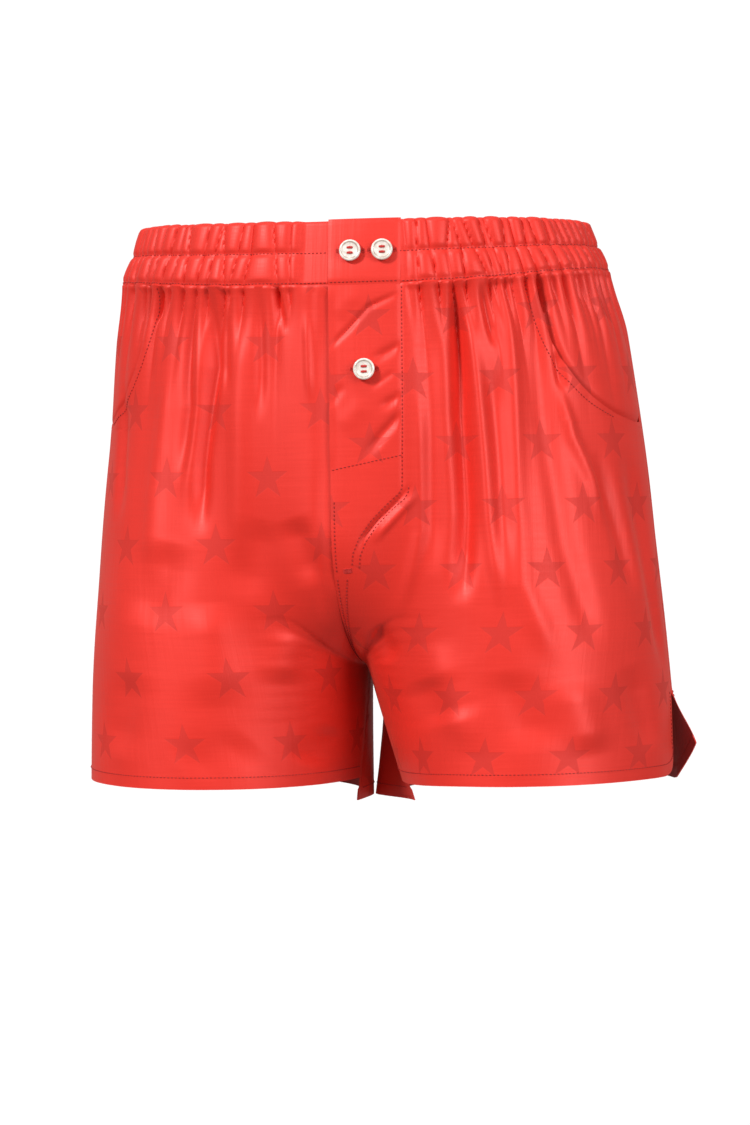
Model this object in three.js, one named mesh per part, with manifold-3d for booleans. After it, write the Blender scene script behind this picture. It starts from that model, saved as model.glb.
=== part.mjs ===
// Satin boxer shorts: four leg panels, a gathered elastic waistband, a buttoned fly and two slant pockets.
// Millimetres, +Z up. The front faces -Y and the wearer's left is +X.
// The origin is the centre of the waist opening, level with the waistband's top edge.
// Places on the cloth are given as a drop below that edge, and an offset out of the cloth's middle surface.
import * as THREE from "three";
import { mergeVertices } from "three/addons/utils/BufferGeometryUtils.js";
import Module from "manifold-3d";

const wasm = await Module();
wasm.setup();

// Overall shape
const WAIST_HALF_WIDTH = 158;
const WAIST_HALF_DEPTH = 111;
const BAND_HEIGHT = 41;
const BAND_FLARE = 10; // how much further out the waistband's lower edge stands, at the sides
const HIP_FLARE = 32; // from the waistband down to the hem, at the sides
const DEPTH_FLARE = 7; // the same, at the front and the back
const FLARE_REACH = 150; // drop over which most of the flare happens
const LEG_HALF_DEPTH = 110;
const FORK_DROP = 196; // where the centre seam starts to turn in towards the crotch
const THIGH_DROP = 110; // where the outer thigh starts to turn from the hip's oval to the leg's
const CROTCH_DROP = 290;
const FRONT_LENGTH = 368;
const BACK_LENGTH = 374;
const BACK_INNER_DIP = 10; // the back hem hangs lower still at the inner leg
const LEG_GAP = 9; // each inner hem's distance from the middle
const LEG_BIAS = 0.667; // crowds the columns of a leg towards its outer side, as on the hip

// Cloth and sewing
const CLOTH = 0.8;
const FINE_CLOTH = 0.6;
const GAP = 0.3; // clearance between pieces that lie together
const PANEL_GAP = 0.2; // each panel's half of the clearance at a seam
const LAYER_GAP = 0.55; // clearance between wide layers on a curve
const HEM_DEPTH = 10;
const HEM_STEP = 0.6; // the height over which the cloth thickens to the turned hem
const HEM_CORNER_RISE = 12;
const HEM_CORNER_WIDTH = 0.16; // share of the panel's width that the rounded corner takes
const VENT_DROP = 314;
const VENT_HALF_GAP = 5;

// Waistband
const BAND_TUCK = 5; // how far the panels reach up into the casing
const CASING_EASE = 0.7; // from the panels' tucked edge to the casing's two layers
const ELASTIC_WIDTH = 15.4;
const ELASTIC_THICKNESS = 1.4;
const ELASTIC_INSET = 2.4; // from the casing's top edge to the upper elastic
const CHANNEL_GAP = 1.8; // between the two elastics, where the middle row of stitches runs
const LABEL_WIDTH = 34;
const LABEL_HEIGHT = 20;
const LABEL_DROP = 12;

// Fly
const FLAP_WIDTH = 46;
const FLAP_LENGTH = 158; // drop of the closing stitch, below which the fly is sewn shut
const FLY_LENGTH = 226; // drop of the fly's lower end
const FLY_END_WIDTH = 13;
const UNDERLAP_SHORTFALL = 2; // the underlap stops this much before the flap's sewn edge
const UNDERLAP_BACKING = 12; // how far the underlap lies behind the other front panel
const TAB_THICKNESS = 1.4;

// Buttons
const BUTTON_DIAMETER = 14;
const BUTTON_THICKNESS = 2.6;
const BUTTON_RIM = 1.9; // width of the raised rim
const BUTTON_DISH = 0.7; // depth of the dished middle
const BUTTON_HOLE_DIAMETER = 1.5;
const BUTTON_HOLE_SPACING = 3.4;
const BUTTON_STANDOFF = 1; // from the cloth that is buttoned down to the button's back
const THREAD = 0.7;
const SHANK_DIAMETER = 2.2;
const BUTTONHOLE_LENGTH = 17;
const WAIST_BUTTON_DROP = 19.5;
const WAIST_BUTTON_X = [14.5, 34.5];
const FLY_BUTTON_DROP = 95.5;
const FLY_BUTTON_X = 23;

// Pockets
const POCKET_TOP_X = 127;
const POCKET_END_DROP = 132;
const POCKET_BAG_INNER_SHARE = 9 / 16; // where the bag's inner edge lies between centre front and side seam

// Mesh fineness
const COLUMNS = 16;
const ROW_SPACING = 25;
const FORK_ROWS = 6;
const LEG_ROWS = 3;
const ROUND_SIDES = 32;

const LEFT = 1;
const RIGHT = -1;
const FRONT = -1;
const BACK = 1;

const RED = { color: 0xe23a2c, roughness: 0.38 };
const DARK_RED = { color: 0xb0281f, roughness: 0.5 };
const WHITE = { color: 0xe9e4dc, roughness: 0.8 };
const PEARL = { color: 0xe7ddd0, roughness: 0.25 };
const THREAD_RED = { color: 0xc42f25, roughness: 0.6 };

// The cloth's middle surface

function flare(drop) {
  const below = Math.max(drop - BAND_HEIGHT, 0);
  const full = 1 - Math.exp(-(FRONT_LENGTH - BAND_HEIGHT) / FLARE_REACH);
  return (1 - Math.exp(-below / FLARE_REACH)) / full;
}

function halfWidth(drop) {
  const band = BAND_FLARE * Math.min(drop / BAND_HEIGHT, 1);
  return WAIST_HALF_WIDTH + band + HIP_FLARE * flare(drop);
}

function halfDepth(drop) {
  const band = (BAND_FLARE / 2) * Math.min(drop / BAND_HEIGHT, 1);
  return WAIST_HALF_DEPTH + band + DEPTH_FLARE * flare(drop);
}

// 0 where the section is one oval and 1 below the crotch, where it is two.
// It rises in a quarter round on the centre seam, and gently on the outer thigh.
function legShare(share, drop) {
  const t = THREE.MathUtils.clamp((drop - FORK_DROP) / (CROTCH_DROP - FORK_DROP), 0, 1);
  const atSeam = 1 - Math.sqrt(1 - t * t);
  const atThigh = THREE.MathUtils.smoothstep(drop, THIGH_DROP, CROTCH_DROP);
  return THREE.MathUtils.lerp(atSeam, atThigh, THREE.MathUtils.smoothstep(share, 0, 0.6));
}

function innerEdge(drop) {
  const t = Math.max(drop - CROTCH_DROP, 0) / (FRONT_LENGTH - CROTCH_DROP);
  return GAP + CLOTH / 2 + (LEG_GAP - GAP) * t;
}

// across runs from 0 at the centre seam, or the inner leg, to 1 at the side seam.
function middlePoint({ side, face, across, x, gap = 0 }, drop) {
  const a = halfWidth(drop);
  const b = halfDepth(drop);
  const share = x === undefined ? across : (Math.asin(Math.abs(x) / a) * 2) / Math.PI;
  const turn = (share * Math.PI) / 2;
  const inner = innerEdge(drop);
  const legTurn = Math.PI * (share * (1 + LEG_BIAS * (1 - share)) - 0.5);
  const legX = (a + inner) / 2 + ((a - inner) / 2) * Math.sin(legTurn);
  const k = legShare(share, drop);
  const px = (1 - k) * a * Math.sin(turn) + k * legX;
  const py = (1 - k) * b * Math.cos(turn) + k * LEG_HALF_DEPTH * Math.cos(legTurn);
  return new THREE.Vector3(side * (px + gap), face * (py + gap), -drop);
}

function clothNormal(place, drop) {
  const step = 0.004;
  const rise = 0.4;
  const width = halfWidth(drop);
  const share = place.x === undefined ? place.across : (Math.asin(Math.abs(place.x) / width) * 2) / Math.PI;
  const at = (across) => ({ ...place, x: undefined, across: THREE.MathUtils.clamp(across, 0, 1) });
  const along = middlePoint(at(share + step), drop).sub(middlePoint(at(share - step), drop));
  const down = middlePoint(at(share), drop + rise).sub(middlePoint(at(share), drop - rise));
  const normal = along.cross(down).multiplyScalar(place.side * place.face);
  // On a seam the normal stays in the seam's own plane, so that the two edges match.
  const atSide = share > 1 - 1e-6;
  const atCentre = share < 1e-6;
  if (atSide || (atCentre && drop >= CROTCH_DROP)) normal.y = 0;
  else if (atCentre) normal.x = 0;
  return normal.normalize();
}

function clothPoint(place, drop, offset) {
  return middlePoint(place, drop).addScaledVector(clothNormal(place, drop), offset);
}

// A place on the front at x millimetres from the centre line.
function frontAt(x, side = x < 0 ? RIGHT : LEFT) {
  return { side, face: FRONT, x };
}

// Solids

function solidFrom(positions, indices) {
  const mesh = new wasm.Mesh({
    numProp: 3,
    vertProperties: new Float32Array(positions),
    triVerts: new Uint32Array(indices),
  });
  return new wasm.Manifold(mesh);
}

function geometryOf(solid) {
  const mesh = solid.getMesh();
  const geometry = new THREE.BufferGeometry();
  geometry.setAttribute("position", new THREE.BufferAttribute(mesh.vertProperties, 3));
  geometry.setIndex(new THREE.BufferAttribute(mesh.triVerts, 1));
  geometry.computeVertexNormals();
  return geometry;
}

function solidOf(geometry) {
  const bare = geometry.clone();
  bare.deleteAttribute("normal");
  bare.deleteAttribute("uv");
  const merged = mergeVertices(bare, 1e-4);
  return solidFrom(merged.attributes.position.array, merged.index.array);
}

// The end faces of a strip, whose outline runs back beside itself: one quad between each pair of rows.
function pairedCap(outline) {
  const size = outline.length;
  const rows = Array.from({ length: size / 2 - 1 }, (_, row) => row);
  return rows.flatMap((row) => [
    [row, row + 1, size - 2 - row],
    [row, size - 2 - row, size - 1 - row],
  ]);
}

// The end faces of any other outline, turned the way that the outline runs.
function triangulatedCap(outline) {
  const points = outline.map(([offset, drop]) => new THREE.Vector2(offset, drop));
  const faces = THREE.ShapeUtils.triangulateShape(points, []);
  return THREE.ShapeUtils.isClockWise(points) ? faces.map(([p, q, r]) => [p, r, q]) : faces;
}

// A closed solid through rings of points, each ring one outline of [offset, drop] pairs laid on the cloth.
// The outer and inner halves of a ring take the same diagonals, so that neighbouring layers stay parallel.
function loft(places, outlineAt, cap = pairedCap, pointAt = clothPoint) {
  const positions = places.flatMap((place) =>
    outlineAt(place).flatMap(([offset, drop]) => pointAt(place, drop, offset).toArray()),
  );
  const outline = outlineAt(places[0]);
  const size = outline.length;
  const indices = [];
  for (let i = 0; i + 1 < places.length; i++) {
    for (let j = 0; j < size; j++) {
      const next = (j + 1) % size;
      const [a, b, c, d] = [i * size + j, (i + 1) * size + j, (i + 1) * size + next, i * size + next];
      if (j < size / 2) indices.push(a, b, d, b, c, d);
      else indices.push(a, b, c, a, c, d);
    }
  }
  const last = (places.length - 1) * size;
  for (const [a, b, c] of cap(outline)) {
    indices.push(a, b, c, last + a, last + c, last + b);
  }
  const solid = solidFrom(positions, indices);
  if (solid.volume() > 0) return solid;
  for (let i = 0; i < indices.length; i += 3) {
    [indices[i + 1], indices[i + 2]] = [indices[i + 2], indices[i + 1]];
  }
  return solidFrom(positions, indices);
}

function sweep(places, outline, cap) {
  return loft(places, () => outline, cap);
}

// An outline between two offsets, with a point at each drop.
function strip(outer, inner, drops) {
  return [...drops.map((drop) => [outer, drop]), ...[...drops].reverse().map((drop) => [inner, drop])];
}

function spread(from, to, count) {
  return Array.from({ length: count + 1 }, (_, i) => from + ((to - from) * i) / count);
}

// Rows that every layer shares, so that layers on a curved stretch stay parallel.
const plainRows = spread(BAND_HEIGHT, FORK_DROP, Math.round((FORK_DROP - BAND_HEIGHT) / ROW_SPACING));
const forkRows = spread(0, Math.PI / 2, FORK_ROWS)
  .slice(1)
  .map((angle) => FORK_DROP + (CROTCH_DROP - FORK_DROP) * Math.sin(angle));
const flyRows = [FLAP_LENGTH, FLY_LENGTH];
const upperRows = [...plainRows, ...forkRows]
  .filter((drop) => flyRows.every((row) => Math.abs(drop - row) > 4))
  .concat(flyRows)
  .sort((one, other) => one - other);

function rowsBetween(top, bottom) {
  const inside = upperRows.filter((drop) => drop > top + 2 && drop < bottom - 2);
  return [top, ...inside, bottom];
}

// Places from one share of the half-width to another, on the columns that every layer shares.
function columnsBetween(side, face, from, to, gap = 0) {
  const inside = spread(0, 1, COLUMNS).filter((across) => across > from + 0.01 && across < to - 0.01);
  return [from, ...inside, to].map((across) => ({ side, face, across, gap }));
}

// Panels

function hemDrop({ face, across }) {
  const corner = Math.max((across - 1 + HEM_CORNER_WIDTH) / HEM_CORNER_WIDTH, 0);
  const length = face === FRONT ? FRONT_LENGTH : BACK_LENGTH + BACK_INNER_DIP * (1 - across) ** 3;
  return length - HEM_CORNER_RISE * corner * corner;
}

// How far the panel's outer edge draws back from the side seam, as a share of its width.
function ventShare(drop) {
  const t = Math.max(drop - VENT_DROP, 0) / (FRONT_LENGTH - VENT_DROP);
  const edgeSpeed = Math.PI * (1 - LEG_BIAS) * LEG_HALF_DEPTH;
  return (VENT_HALF_GAP / edgeSpeed) * t;
}

function panelSolid(side, face) {
  const half = CLOTH / 2;
  const outlineAt = (place) => {
    const hem = hemDrop(place);
    const hemTop = hem - HEM_DEPTH;
    const leg = spread(CROTCH_DROP, hemTop, LEG_ROWS).slice(1);
    const plain = [BAND_HEIGHT - BAND_TUCK, ...upperRows, ...leg];
    const turned = [hemTop + HEM_STEP, hem];
    const inner = [...plain.map((drop) => [-half, drop]), ...turned.map((drop) => [-half - CLOTH, drop])];
    return [...[...plain, ...turned].map((drop) => [half, drop]), ...inner.reverse()];
  };
  const pointAt = (place, drop, offset) =>
    clothPoint({ ...place, across: place.across * (1 - ventShare(drop)) }, drop, offset);
  return loft(columnsBetween(side, face, 0, 1, PANEL_GAP), outlineAt, pairedCap, pointAt);
}

// A prism through the whole front, from an outline of x and height.
function frontPrism(shape, curveSegments) {
  const depth = halfDepth(FRONT_LENGTH) + 40;
  const prism = new THREE.ExtrudeGeometry(shape, { depth, bevelEnabled: false, curveSegments });
  return solidOf(prism.rotateX(Math.PI / 2));
}

// The part of the front above and outside a pocket's mouth, as a prism right through the front.
function pocketMouth(side, margin = 0) {
  const endX = halfWidth(POCKET_END_DROP);
  const topX = POCKET_TOP_X + margin;
  const endDrop = POCKET_END_DROP - margin;
  const outside = endX + 40;
  const top = BAND_HEIGHT - BAND_TUCK - 10;
  const shape = new THREE.Shape();
  shape.moveTo(topX, -top);
  shape.lineTo(topX, -BAND_HEIGHT);
  shape.bezierCurveTo(topX + 10, -endDrop + 32, endX - 26, -endDrop + 12, endX - 2, -endDrop);
  shape.lineTo(outside, -endDrop);
  shape.lineTo(outside, -top);
  const prism = frontPrism(shape, 8);
  return side === LEFT ? prism : prism.mirror([1, 0, 0]);
}

function flyWindow() {
  const stations = spread(-6, FLAP_WIDTH + GAP, 4).map((x) => frontAt(x));
  return sweep(stations, strip(6, -6, [BAND_HEIGHT - BAND_TUCK - 3, BAND_HEIGHT, FLAP_LENGTH + GAP]));
}

// The largest body of a solid, without the slivers that a cut can leave at its rim.
function mainBody(solid) {
  return solid.decompose().reduce((largest, body) => (body.volume() > largest.volume() ? body : largest));
}

function frontPanel(side) {
  const panel = mainBody(panelSolid(side, FRONT).subtract(pocketMouth(side)));
  return side === LEFT ? mainBody(panel.subtract(flyWindow())) : panel;
}

// Waistband

const casingRoom = CLOTH / 2 + CASING_EASE;
const casingOuter = casingRoom + FINE_CLOTH;
const casingFloor = -casingRoom;
const casingInner = -casingOuter;

// Places from the given x at the front, round the side, to the centre back.
function halfRound(side, startX, backGap = PANEL_GAP) {
  const start = (Math.asin(startX / halfWidth(BAND_HEIGHT)) * 2) / Math.PI;
  const front = columnsBetween(side, FRONT, start, 1);
  const back = columnsBetween(side, BACK, 0, 1).reverse().slice(1);
  const places = [...front, ...back];
  places[0] = frontAt(startX, side);
  places[places.length - 1] = { side, face: BACK, x: backGap };
  return places;
}

// One half of the casing: two layers of cloth joined along the top and open below.
function casing(side, startX) {
  const outline = [
    [casingOuter, 0],
    [casingOuter, BAND_HEIGHT],
    [casingRoom, BAND_HEIGHT],
    [casingRoom, FINE_CLOTH],
    [casingFloor, FINE_CLOTH],
    [casingFloor, BAND_HEIGHT],
    [casingInner, BAND_HEIGHT],
    [casingInner, 0],
  ];
  return sweep(halfRound(side, startX), outline, triangulatedCap);
}

function elastic(channel) {
  const top = ELASTIC_INSET + channel * (ELASTIC_WIDTH + CHANNEL_GAP);
  const left = halfRound(LEFT, FLAP_WIDTH + 2 * GAP, 0);
  const right = halfRound(RIGHT, 2 * GAP, 0).reverse().slice(1);
  const half = ELASTIC_THICKNESS / 2;
  return sweep([...left, ...right], strip(half, -half, [top, top + ELASTIC_WIDTH]));
}

// Layers at the waist tab, from the outside in
const tabOuter = casingOuter + GAP;
const tabInner = tabOuter - TAB_THICKNESS;
const underTabOuter = tabInner - GAP;
const underTabInner = underTabOuter - TAB_THICKNESS;

// Places on the front between two x values, on the shared columns where they lie between.
function frontPlaces(fromX, toX) {
  const toShare = (Math.asin(toX / halfWidth(FLY_LENGTH)) * 2) / Math.PI;
  const shared = columnsBetween(LEFT, FRONT, 0, toShare).slice(1, -1);
  const centre = fromX < 0 ? [{ side: LEFT, face: FRONT, across: 0 }] : [];
  return [frontAt(fromX), ...centre, ...shared, frontAt(toX)];
}

function frontStrip(fromX, toX, outline) {
  return sweep(frontPlaces(fromX, toX), outline);
}

// A slot for a button's shank, cut through cloth at a place on the front.
function buttonhole(x, drop) {
  const width = SHANK_DIAMETER + 2 * GAP;
  const box = new THREE.BoxGeometry(BUTTONHOLE_LENGTH, 12, width);
  const frame = clothFrame(x, drop, 0);
  box.applyMatrix4(frame);
  return solidOf(box);
}

// A frame on the front cloth: its Y axis points into the body, its X axis runs level to the wearer's left.
function clothFrame(x, drop, offset) {
  const place = frontAt(x);
  const out = clothNormal(place, drop);
  const level = new THREE.Vector3(-out.y, out.x, 0).normalize();
  const inward = out.clone().negate();
  const up = new THREE.Vector3().crossVectors(level, inward);
  return new THREE.Matrix4().makeBasis(level, inward, up).setPosition(clothPoint(place, drop, offset));
}

function waistTab() {
  const plain = frontStrip(0, FLAP_WIDTH, strip(tabOuter, tabInner, [0, BAND_HEIGHT]));
  return WAIST_BUTTON_X.reduce((tab, x) => tab.subtract(buttonhole(x, WAIST_BUTTON_DROP)), plain);
}

// Fly, from the outside in
const flapInner = CLOTH / 2 - FINE_CLOTH;
const facingOuter = flapInner - GAP;
const facingInner = facingOuter - FINE_CLOTH;
const lowerFacingOuter = -CLOTH / 2 - LAYER_GAP;
const lowerFacingInner = lowerFacingOuter - FINE_CLOTH;
const flyUnderOuter = lowerFacingInner - GAP;
const flyUnderInner = flyUnderOuter - CLOTH;

function flapLayer(outer, inner) {
  const rows = rowsBetween(BAND_HEIGHT + GAP, FLAP_LENGTH);
  return frontStrip(0, FLAP_WIDTH, strip(outer, inner, rows)).subtract(buttonhole(FLY_BUTTON_X, FLY_BUTTON_DROP));
}

// The fly's width at a drop: full down to the closing stitch, then drawn in along a J to its narrow end.
function flyWidth(drop) {
  const t = THREE.MathUtils.clamp((drop - FLAP_LENGTH) / (FLY_LENGTH - FLAP_LENGTH), 0, 1);
  return FLY_END_WIDTH + (FLAP_WIDTH - FLY_END_WIDTH) * Math.sqrt(1 - t * t);
}

// Everything outside the J, as a prism right through the front.
function outsideFly(shortfall) {
  const shape = new THREE.Shape();
  shape.moveTo(FLAP_WIDTH * 2, 0);
  shape.lineTo(FLAP_WIDTH - shortfall, 0);
  for (const drop of spread(FLAP_LENGTH, FLY_LENGTH, 8)) {
    shape.lineTo(flyWidth(drop) - shortfall, -drop);
  }
  shape.lineTo(FLY_END_WIDTH - shortfall, -FLY_LENGTH - BAND_HEIGHT);
  shape.lineTo(FLAP_WIDTH * 2, -FLY_LENGTH - BAND_HEIGHT);
  return frontPrism(shape, 1);
}

function flyLayer(outer, inner, fromX, shortfall, top) {
  const whole = frontStrip(fromX, FLAP_WIDTH + 1, strip(outer, inner, rowsBetween(top, FLY_LENGTH)));
  return mainBody(whole.subtract(outsideFly(shortfall)));
}

// Pockets, from the outside in
const bagOuter = -CLOTH / 2 - LAYER_GAP;
const bagInner = bagOuter - FINE_CLOTH;
const pocketFacingOuter = bagInner - LAYER_GAP;
const pocketFacingInner = pocketFacingOuter - FINE_CLOTH;
const pocketBottom = forkRows[1];

function pocketLayer(side, outer, inner) {
  const places = columnsBetween(side, FRONT, POCKET_BAG_INNER_SHARE, 1, PANEL_GAP);
  return sweep(places, strip(outer, inner, rowsBetween(BAND_HEIGHT + GAP, pocketBottom)));
}

// The bag's front layer, cut back a little further than the panel's mouth.
function pocketBag(side) {
  return mainBody(pocketLayer(side, bagOuter, bagInner).subtract(pocketMouth(side, -2)));
}

// Buttons, modelled about their own axis: Y points in, and the back lies at Y = 0.

function buttonHoles(diameter, length) {
  const half = BUTTON_HOLE_SPACING / 2;
  const places = [-half, half].flatMap((x) => [-half, half].map((z) => [x, z]));
  return places.map(([x, z]) => {
    const peg = new THREE.CylinderGeometry(diameter / 2, diameter / 2, length, 10);
    peg.translate(x, -length / 2, z);
    return peg;
  });
}

function buttonSolid() {
  const r = BUTTON_DIAMETER / 2;
  const rimInner = r - BUTTON_RIM;
  const face = BUTTON_THICKNESS - BUTTON_DISH;
  const outline = [
    [0, 0],
    [r * 0.72, 0],
    [r * 0.93, 0.5],
    [r, 1.2],
    [r * 0.97, BUTTON_THICKNESS - 0.5],
    [r - BUTTON_RIM / 2, BUTTON_THICKNESS],
    [rimInner, BUTTON_THICKNESS - 0.4],
    [rimInner * 0.8, face],
    [0, face],
  ].map(([radius, height]) => new THREE.Vector2(radius, height));
  const disc = new THREE.LatheGeometry(outline, ROUND_SIDES);
  disc.rotateX(Math.PI);
  const cutters = buttonHoles(BUTTON_HOLE_DIAMETER, BUTTON_THICKNESS + 2).map((peg) => peg.translate(0, 1, 0));
  return cutters.reduce((button, peg) => button.subtract(solidOf(peg)), solidOf(disc));
}

// The thread that holds a button: a wound shank behind it, a leg through each hole and two level bars on its face.
function threadSolid(standoff) {
  const face = BUTTON_THICKNESS - BUTTON_DISH;
  const knotThickness = 0.35;
  const knotTop = GAP;
  const shankLength = standoff - knotTop - knotThickness - GAP;
  const knot = new THREE.CylinderGeometry(BUTTON_HOLE_SPACING * 0.85, SHANK_DIAMETER / 2, knotThickness, 16);
  knot.rotateX(Math.PI);
  knot.translate(0, knotTop + knotThickness / 2, 0);
  const shank = new THREE.CylinderGeometry(SHANK_DIAMETER / 2, SHANK_DIAMETER / 2, shankLength + 0.1, 16);
  shank.translate(0, knotTop + knotThickness + shankLength / 2 - 0.05, 0);
  const legs = buttonHoles(THREAD, face + GAP + knotTop + knotThickness).map((leg) =>
    leg.translate(0, knotTop + knotThickness / 2, 0),
  );
  const bars = [-1, 1].map((end) => {
    const bar = new THREE.CylinderGeometry(THREAD / 2, THREAD / 2, BUTTON_HOLE_SPACING + THREAD, 10);
    bar.rotateZ(Math.PI / 2);
    return bar.translate(0, -face - GAP - THREAD / 4, (end * BUTTON_HOLE_SPACING) / 2);
  });
  return [shank, ...legs, ...bars].reduce((whole, piece) => whole.add(solidOf(piece)), solidOf(knot));
}

// The finished object

const shorts = new THREE.Group();

function addPiece(name, solid, look, parent = shorts) {
  const material = new THREE.MeshStandardMaterial({ ...look, metalness: 0 });
  const mesh = new THREE.Mesh(geometryOf(solid), material);
  mesh.name = name;
  parent.add(mesh);
}

function addButton(name, x, drop, topOffset, underOffset) {
  const back = topOffset + BUTTON_STANDOFF;
  const seat = new THREE.Group();
  seat.applyMatrix4(clothFrame(x, drop, back));
  shorts.add(seat);
  addPiece(name, buttonSolid(), PEARL, seat);
  addPiece(name + "_thread", threadSolid(back - underOffset), THREAD_RED, seat);
}

for (const [side, word] of [
  [LEFT, "left"],
  [RIGHT, "right"],
]) {
  addPiece("front_panel_" + word, frontPanel(side), RED);
  addPiece("back_panel_" + word, panelSolid(side, BACK), RED);
  addPiece("waistband_" + word, casing(side, side === LEFT ? FLAP_WIDTH + GAP : GAP), RED);
  addPiece("pocket_bag_" + word, pocketBag(side), WHITE);
  addPiece("pocket_facing_" + word, pocketLayer(side, pocketFacingOuter, pocketFacingInner), DARK_RED);
}

addPiece("elastic_upper", elastic(0), WHITE);
addPiece("elastic_lower", elastic(1), WHITE);

addPiece("waist_tab", waistTab(), RED);
const underTabEnd = FLAP_WIDTH - UNDERLAP_SHORTFALL;
addPiece(
  "waist_tab_underlap",
  frontStrip(GAP, underTabEnd, strip(underTabOuter, underTabInner, [0, BAND_HEIGHT])),
  RED,
);

addPiece("fly_flap", flapLayer(CLOTH / 2, flapInner), RED);
addPiece("fly_facing", flapLayer(facingOuter, facingInner), DARK_RED);
addPiece(
  "fly_facing_lower",
  flyLayer(lowerFacingOuter, lowerFacingInner, 2 * GAP, 0, FLAP_LENGTH + GAP),
  DARK_RED,
);
addPiece(
  "fly_underlap",
  flyLayer(flyUnderOuter, flyUnderInner, -UNDERLAP_BACKING, UNDERLAP_SHORTFALL, BAND_HEIGHT + GAP),
  RED,
);

WAIST_BUTTON_X.forEach((x, i) => {
  addButton(["waist_button_inner", "waist_button_outer"][i], x, WAIST_BUTTON_DROP, tabOuter, underTabOuter);
});
addButton("fly_button", FLY_BUTTON_X, FLY_BUTTON_DROP, CLOTH / 2, flyUnderOuter);

const labelHalf = LABEL_WIDTH / 2;
addPiece(
  "care_label",
  sweep(
    spread(-labelHalf, labelHalf, 4).map((x) => ({ side: x < 0 ? RIGHT : LEFT, face: BACK, x })),
    strip(casingInner - GAP, casingInner - GAP - FINE_CLOTH, [LABEL_DROP, LABEL_DROP + LABEL_HEIGHT]),
  ),
  WHITE,
);

export default shorts;
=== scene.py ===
"""The looks of the satin boxer shorts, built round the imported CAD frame.

Lengths are in millimetres until a mesh is made, and meshes are in metres, in the CAD's own frame:
+Z up, the front faces -Y, the wearer's left is +X, and the waist opening's centre is the origin.
A place on the cloth is a side (+1 left, -1 right), a face (-1 front, +1 back), a share of the half
width (0 at the centre seam or inner leg, 1 at the side seam) and a drop below the waist's top edge.
"""

import math

import bpy
import numpy as np
from mathutils import Matrix, Quaternion, Vector


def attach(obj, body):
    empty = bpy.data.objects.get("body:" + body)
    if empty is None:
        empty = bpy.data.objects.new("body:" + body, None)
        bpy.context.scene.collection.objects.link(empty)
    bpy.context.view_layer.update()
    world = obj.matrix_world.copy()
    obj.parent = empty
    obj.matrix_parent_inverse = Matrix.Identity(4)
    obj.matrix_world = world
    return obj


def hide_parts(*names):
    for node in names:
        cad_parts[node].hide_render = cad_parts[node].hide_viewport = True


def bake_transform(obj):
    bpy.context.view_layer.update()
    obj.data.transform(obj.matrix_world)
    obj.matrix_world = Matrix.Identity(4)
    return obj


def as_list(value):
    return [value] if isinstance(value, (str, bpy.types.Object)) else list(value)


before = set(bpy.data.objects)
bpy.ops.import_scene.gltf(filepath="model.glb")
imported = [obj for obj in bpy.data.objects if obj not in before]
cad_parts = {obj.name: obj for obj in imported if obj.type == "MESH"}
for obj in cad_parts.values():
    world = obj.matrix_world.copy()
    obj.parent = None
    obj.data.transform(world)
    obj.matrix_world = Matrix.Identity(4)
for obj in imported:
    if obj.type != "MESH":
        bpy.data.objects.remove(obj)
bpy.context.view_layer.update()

MM = 0.001
LEFT, RIGHT = 1, -1
FRONT, BACK = -1, 1

# ---------------------------------------------------------------- the CAD's own sizes
WAIST_HALF_WIDTH = 158.0
WAIST_HALF_DEPTH = 111.0
BAND_HEIGHT = 41.0
BAND_FLARE = 10.0
HIP_FLARE = 32.0
DEPTH_FLARE = 7.0
FLARE_REACH = 150.0
LEG_HALF_DEPTH = 110.0
FORK_DROP = 196.0
THIGH_DROP = 110.0
CROTCH_DROP = 290.0
FRONT_LENGTH = 368.0
BACK_LENGTH = 374.0
BACK_INNER_DIP = 10.0
LEG_GAP = 9.0
LEG_BIAS = 0.667
SEAM_GAP = 0.7
HEM_CORNER_RISE = 12.0
HEM_CORNER_WIDTH = 0.16
VENT_DROP = 314.0
VENT_HALF_GAP = 5.0
FLAP_WIDTH = 46.0
FLAP_LENGTH = 158.0
FLY_LENGTH = 226.0
FLY_END_WIDTH = 13.0
UNDERLAP_BACKING = 12.0
POCKET_TOP_X = 127.0
POCKET_END_DROP = 132.0
POCKET_BOTTOM = 243.0
CASING_WALL = 1.4
TAB_OFFSET = 1.6
UNDER_TAB_OFFSET = -0.4
WAIST_BUTTON_DROP = 19.5
WAIST_BUTTON_X = (14.5, 34.5)
FLY_BUTTON_DROP = 95.5
FLY_BUTTON_X = 23.0
BUTTONHOLE_LENGTH = 17.0
ELASTIC_WIDTH = 15.4

# ---------------------------------------------------------------- how the worn shape differs
DRAWN_IN = 8.5
DRAWN_REACH = 80.0
BACK_RISE = 4.0
SIDE_RISE = {LEFT: 2.0, RIGHT: 5.5}
SEAM_RISE = {LEFT: 8.0, RIGHT: 4.0}
HEM_RISE = {LEFT: 3.0, RIGHT: 3.5}
SPREAD_STEPS = (-1.0, -0.75, -0.5, -0.25, 0.0, 0.25, 0.5, 0.75, 1.0)

# ---------------------------------------------------------------- cloth and sewing
CLOTH = 0.36
HEM_DEPTH = 9.0
STITCH_PITCH = 2.6
STITCH_LENGTH = 1.8
STITCH_RADIUS = 0.3

rng = np.random.default_rng(7)


def smooth(t):
    t = np.clip(t, 0, 1)
    return t * t * (3 - 2 * t)


def bell(x):
    return np.exp(-np.square(x))


def lengths_along(points):
    """The length of a line of points up to each of them."""
    return np.concatenate([[0], np.cumsum(np.linalg.norm(np.diff(points, axis=0), axis=1))])


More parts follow.
